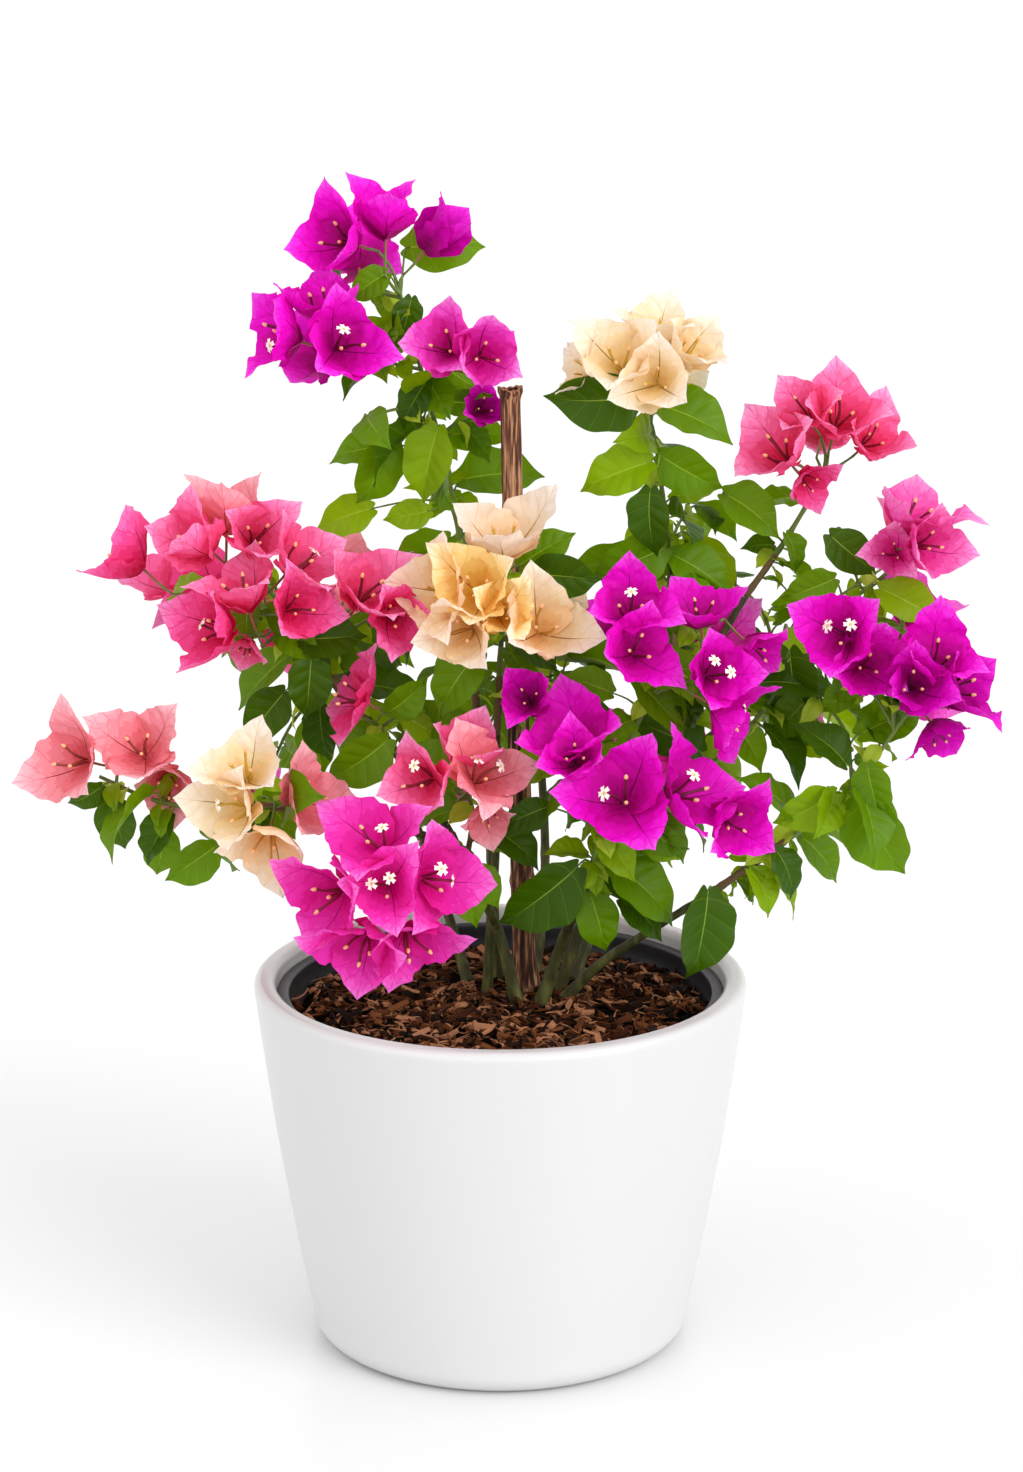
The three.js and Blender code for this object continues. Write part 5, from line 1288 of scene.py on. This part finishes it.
# Tubes of twigs and stalks: radius at the start and end, length of a stretch, and sides
STEM_TUBE = (1.1, 3.5, 9)
STEM_ON_SIDE_RADIUS = 2
STEM_BROWN_TO = 0.35
TWIG_TUBE = (1.2, 0.8, 3.5, 7)
PETIOLE_TUBE = (0.75, 0.5, 4, 6)
STALK_TUBE = (0.7, 0.9, 4, 6)
STALK_RED_FROM = 0.4
# Tube flowers: radii from foot to mouth, radii of a closed bud, then the star at the mouth
TUBE_RADII = (0.5, 0.85, 1.1, 1.05, 0.85, 0.75, 0.85, 1.1)
BUD_RADII = (1.1, 0.4)
BUD_STEP = 1.4
TUBE_SIZE = (0.9, 0.2)
TUBE_LEAN = (0.3, 0.15)
TUBE_BEND = 0.08
TUBE_SIDES = 8
STAR_SIDES = 20
STAR_REACHES = (2, 4.6, 4.1, 4.6)
STAR_EYE = 0.3


def drawn_shape(shape, random):
    drawn = dict(shape)
    for key, value in shape.items():
        if isinstance(value, tuple):
            drawn[key] = vary(value, random)
    drawn["bend"] = swing(shape["bend"], random)
    return drawn


def add_leaf(batch, leaf, tone, form, random):
    points = form.shaped(leaf, LEAF_WIDTH, drawn_shape(LEAF_SHAPE, random))
    slots = [LEAF_SLOTS * tone + LEAF_PART_SLOTS.get(kind, 0) for kind in form.kinds]
    batch.add(points, form.faces, slots)


def add_bract(batch, bract, tint, random):
    points = BRACT_FORM.shaped(bract, BRACT_WIDTH, drawn_shape(BRACT_SHAPE, random))
    first = TINT_NAMES.index(tint) * BRACT_SLOTS
    slots = [first + BRACT_PART_SLOTS.get(kind, kind) for kind in BRACT_FORM.kinds]
    batch.add(points, BRACT_FORM.faces, slots)


def add_tube_flower(batch, base, lean, flower, opened, random):
    """One small tubular flower: swollen at its foot, then a star of five lobes or a closed bud."""
    size = flower["size"]
    length = TUBE_LENGTH * size * vary(TUBE_SIZE, random)
    heading = (flower["direction"] + lean * vary(TUBE_LEAN, random)).normalized()
    bend = across(heading, math.tau * random()) * TUBE_BEND * length
    shares = np.linspace(0, 1, len(TUBE_RADII))
    points = [base + heading * length * s + bend * math.sin(math.pi * s) for s in shares]
    slots = [TINT_NAMES.index(flower["tint"])] * (len(points) - 1)
    star, eye, bud = (len(TINT_NAMES) + i for i in range(3))
    if opened:
        tube(batch, points, [r * size for r in TUBE_RADII], TUBE_SIDES, slots, closed=False)
        add_star(batch, points, heading, size, star, eye)
    else:
        points += [points[-1] + heading * BUD_STEP * size, points[-1] + heading * 2 * BUD_STEP * size]
        tube(batch, points, [r * size for r in TUBE_RADII + BUD_RADII], TUBE_SIDES, slots + [bud] * 2)


def add_star(batch, points, heading, size, star, eye):
    """The star at an open tube flower's mouth: five lobes round a small eye."""
    mouth = points[-1]
    pair = ring_frames([points[-2], mouth])[1]
    outer = []
    for k in range(STAR_SIDES):
        reach = STAR_REACHES[k % 4] * size
        lift = -0.3 if k % 4 else 0.5
        outer.append(mouth + spoke(pair, math.tau * k / STAR_SIDES) * reach + heading * lift)
    inner = [mouth + (place - mouth) * STAR_EYE + heading * 0.2 for place in outer]
    first = 1 + STAR_SIDES
    faces = [(0, first + k, first + (k + 1) % STAR_SIDES) for k in range(STAR_SIDES)]
    faces += [(d, a, b, c) for a, b, c, d in band(1, STAR_SIDES)]
    batch.add([mouth - heading * 0.6] + outer + inner, faces, [eye] * STAR_SIDES + [star] * STAR_SIDES)


def limb_clear(limbs, leaf):
    """True where a leaf's blade keeps off the limbs."""
    places, radii = limbs
    for share in LEAF_CLEAR_PLACES:
        spot = np.array(leaf["foot"] + leaf["along"] * leaf["length"] * share)
        if np.any(np.linalg.norm(places - spot, axis=1) < radii + LEAF_CLEAR):
            return False
    return True


def limb_places(ways):
    """Points along all limbs, and each one's radius."""
    places = []
    radii = []
    for limb in LIMBS:
        way = ways[limb["name"]]
        for i in range(int(way.length / LIMB_STEP) + 1):
            places.append(tuple(way.at(LIMB_STEP * i)))
            radii.append(limb["radius"][0])
    return np.array(places), np.array(radii)


def make_sprays(ways):
    sides = sorted({spray["side"] for spray in SPRAYS})
    batches = {(side, kind): Batch() for side in sides for kind in SLOTS}
    limbs = limb_places(ways)
    for spray in SPRAYS:
        grow_spray(spray, ways, limbs, lambda kind, side=spray["side"]: batches[side, kind])
    materials = {
        "leaves": [m for name, colour in LEAF_TONES.items() for m in leaf_materials(name, colour)],
        "bracts": [m for name, colours in TINTS.items() for m in bract_materials(name, colours)],
        "tubes": [plain_material(f"tube_{name}", colours[4], *TUBE_LOOK) for name, colours in TINTS.items()]
        + looks("star_cream", "star_eye", "bud_tip"),
        "twigs": looks("twig_green", "twig_brown", "stalk_red"),
    }
    for (side, kind), batch in batches.items():
        piece = batch.build(f"{kind}_{side}", materials[kind])
        if kind == "twigs":
            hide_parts(*[s["name"] for s in SPRAYS if s["side"] == side])


def grow_spray(spray, ways, limbs, batch_of):
    stem = spray_stem(spray, ways)
    plan = plan_spray(spray, stem)
    random = seeded(spray["seed"] * DRESS_SEED)
    limb = next(limb for limb in LIMBS if limb["name"] == spray["limb"])
    thick = limb["radius"][1] if spray["on"] is None else STEM_ON_SIDE_RADIUS
    tapered(batch_of("twigs"), stem, thick, *STEM_TUBE, lambda share: 1 if share < STEM_BROWN_TO else 0)
    for leaf in plan["leaves"]:
        dress_leaf(leaf, limbs, batch_of, random)
    for twig in plan["twigs"]:
        tapered(batch_of("twigs"), twig["way"], *TWIG_TUBE, lambda share: 0)
        for leaf in twig["leaves"]:
            dress_leaf(leaf, limbs, batch_of, random)
        for flower in twig["flowers"]:
            dress_flower(flower, batch_of, random)
    fill_spray(spray, stem, plan, limbs, batch_of)


def fill_spray(spray, stem, plan, limbs, batch_of):
    """Smaller leaves between the first ones, away from the blossom and out of the crown's gaps."""
    random = seeded(spray["seed"] * FILL_SEED)
    hubs = [flower["base"] for twig in plan["twigs"] for flower in twig["flowers"]]
    low, high = (Vector(corner) / MM for corner in CAD_BOX)
    size = FILL_SIZE * spray["leaf"]
    for way in [stem] + [twig["way"] for twig in plan["twigs"]]:
        for leaf in leaves_along(way, FILL_BARE, FILL_SPACING, size, random):
            tip = leaf["foot"] + leaf["along"] * leaf["length"]
            middle = leaf["foot"].lerp(tip, 0.5)
            boxed = all(low[i] + FILL_INSIDE < tip[i] < high[i] - FILL_INSIDE for i in range(3))
            crowded = any((middle - hub).length < FLOWER_ROOM for hub in hubs)
            in_gap = any(math.hypot(middle.x - x, middle.z - z) < radius for x, z, radius in CROWN_GAPS)
            if boxed and not crowded and not in_gap:
                dress_leaf(leaf, limbs, batch_of, random)
    for twig in plan["twigs"]:
        if not twig["flowers"]:
            way = twig["way"]
            size = FILL_END_SIZE * LEAF_LENGTH
            end = leaf_on(way.at(way.length), way.heading(way.length), 0, size, random)
            dress_leaf(end, limbs, batch_of, random)


def dress_leaf(leaf, limbs, batch_of, random):
    """A leaf with its petiole, and often a small shoot of two young leaves at its axil."""
    tone = TONES_DRAWN[int(random() * len(TONES_DRAWN))]
    shoot, turn = random(), math.tau * random()
    roll = LEAF_ROLL * (2 * random() - 1)
    if not limb_clear(limbs, leaf):
        return
    leaf = dict(leaf, face=leaned(leaf["face"], leaf["along"].cross(leaf["face"]), roll))
    bow = leaf["root"].lerp(leaf["foot"], 0.5) + UP * 0.06 * leaf["length"]
    petiole = Way([leaf["root"], bow, leaf["foot"], leaf["foot"] + leaf["along"] * leaf["length"] * 0.06])
    tapered(batch_of("twigs"), petiole, *PETIOLE_TUBE, lambda share: 0)
    add_leaf(batch_of("leaves"), leaf, tone, LEAF_FORM, random)
    if shoot < SHOOT_SHARE:
        heading = (leaf["foot"] - leaf["root"]).normalized()
        for i in range(2):
            small = leaf_on(leaf["root"], heading, turn + SHOOT_TURN * i, SHOOT_LEAF, random)
            tone = YOUNG_TONE if random() < 0.5 else FRESH_TONE
            add_leaf(batch_of("leaves"), small, tone, SMALL_LEAF_FORM, random)


def dress_flower(flower, batch_of, random):
    stalk = Way([flower["hub"], flower["hub"].lerp(flower["base"], 0.5) - UP * 0.8, flower["base"]])
    tapered(batch_of("twigs"), stalk, *STALK_TUBE, lambda share: 2 if share > STALK_RED_FROM else 0)
    for i, bract in enumerate(flower["bracts"]):
        add_bract(batch_of("bracts"), bract, flower["tint"], random)
        foot = flower["base"] + bract["along"] * 1.5
        add_tube_flower(batch_of("tubes"), foot, bract["around"], flower, i in flower["stars"], random)


# Stage, light and camera. A sun has its name, strength, width in degrees and the way it shines.
FLOOR_REACH = 60
SKY_STRENGTH = 1.08
SUNS = (("key", 1.6, 40, (-0.7, 0.65, -0.5)), ("fill", 0.6, 80, (0.8, 0.6, -0.3)))


def make_camera():
    camera = bpy.data.objects.new("photo_camera", bpy.data.cameras.new("photo_camera"))
    camera.data.sensor_width = SENSOR
    camera.data.lens = FOCAL_PIXELS / IMAGE_HEIGHT * SENSOR
    camera.location = CAMERA_PLACE
    camera.rotation_euler = (math.pi / 2 - CAMERA_PITCH, 0, -CAMERA_YAW)
    bpy.context.scene.collection.objects.link(camera)
    bpy.context.scene.camera = camera


def make_stage():
    mesh = bpy.data.meshes.new("floor")
    corners = [(x * FLOOR_REACH, y * FLOOR_REACH, 0) for x, y in ((-1, -1), (1, -1), (1, 1), (-1, 1))]
    mesh.from_pydata(corners, [], [(0, 1, 2, 3)])
    mesh.materials.append(principled("floor_white", FLOOR_COLOUR, 0.22))
    floor = bpy.data.objects.new("floor", mesh)
    bpy.context.scene.collection.objects.link(floor)


def make_light():
    world = bpy.data.worlds.new("studio")
    bpy.context.scene.world = world
    world.use_nodes = True
    set_inputs(world, world.node_tree.nodes["Background"], Color=(1, 1, 1, 1), Strength=SKY_STRENGTH)
    for name, energy, angle, heading in SUNS:
        sun = bpy.data.lights.new(name, "SUN")
        sun.energy = energy
        sun.angle = math.radians(angle)
        light = bpy.data.objects.new(name, sun)
        light.rotation_euler = Vector(heading).to_track_quat("-Z", "Y").to_euler()
        bpy.context.scene.collection.objects.link(light)
    bpy.context.scene.view_settings.view_transform = "Standard"


make_camera()
limb_ways = {limb["name"]: Way(limb["route"]) for limb in LIMBS}
make_pot()
make_liner()
make_mulch()
make_trunk(limb_ways["trunk_cut_back"])
make_boughs(limb_ways)
make_sprays(limb_ways)
make_stage()
make_light()
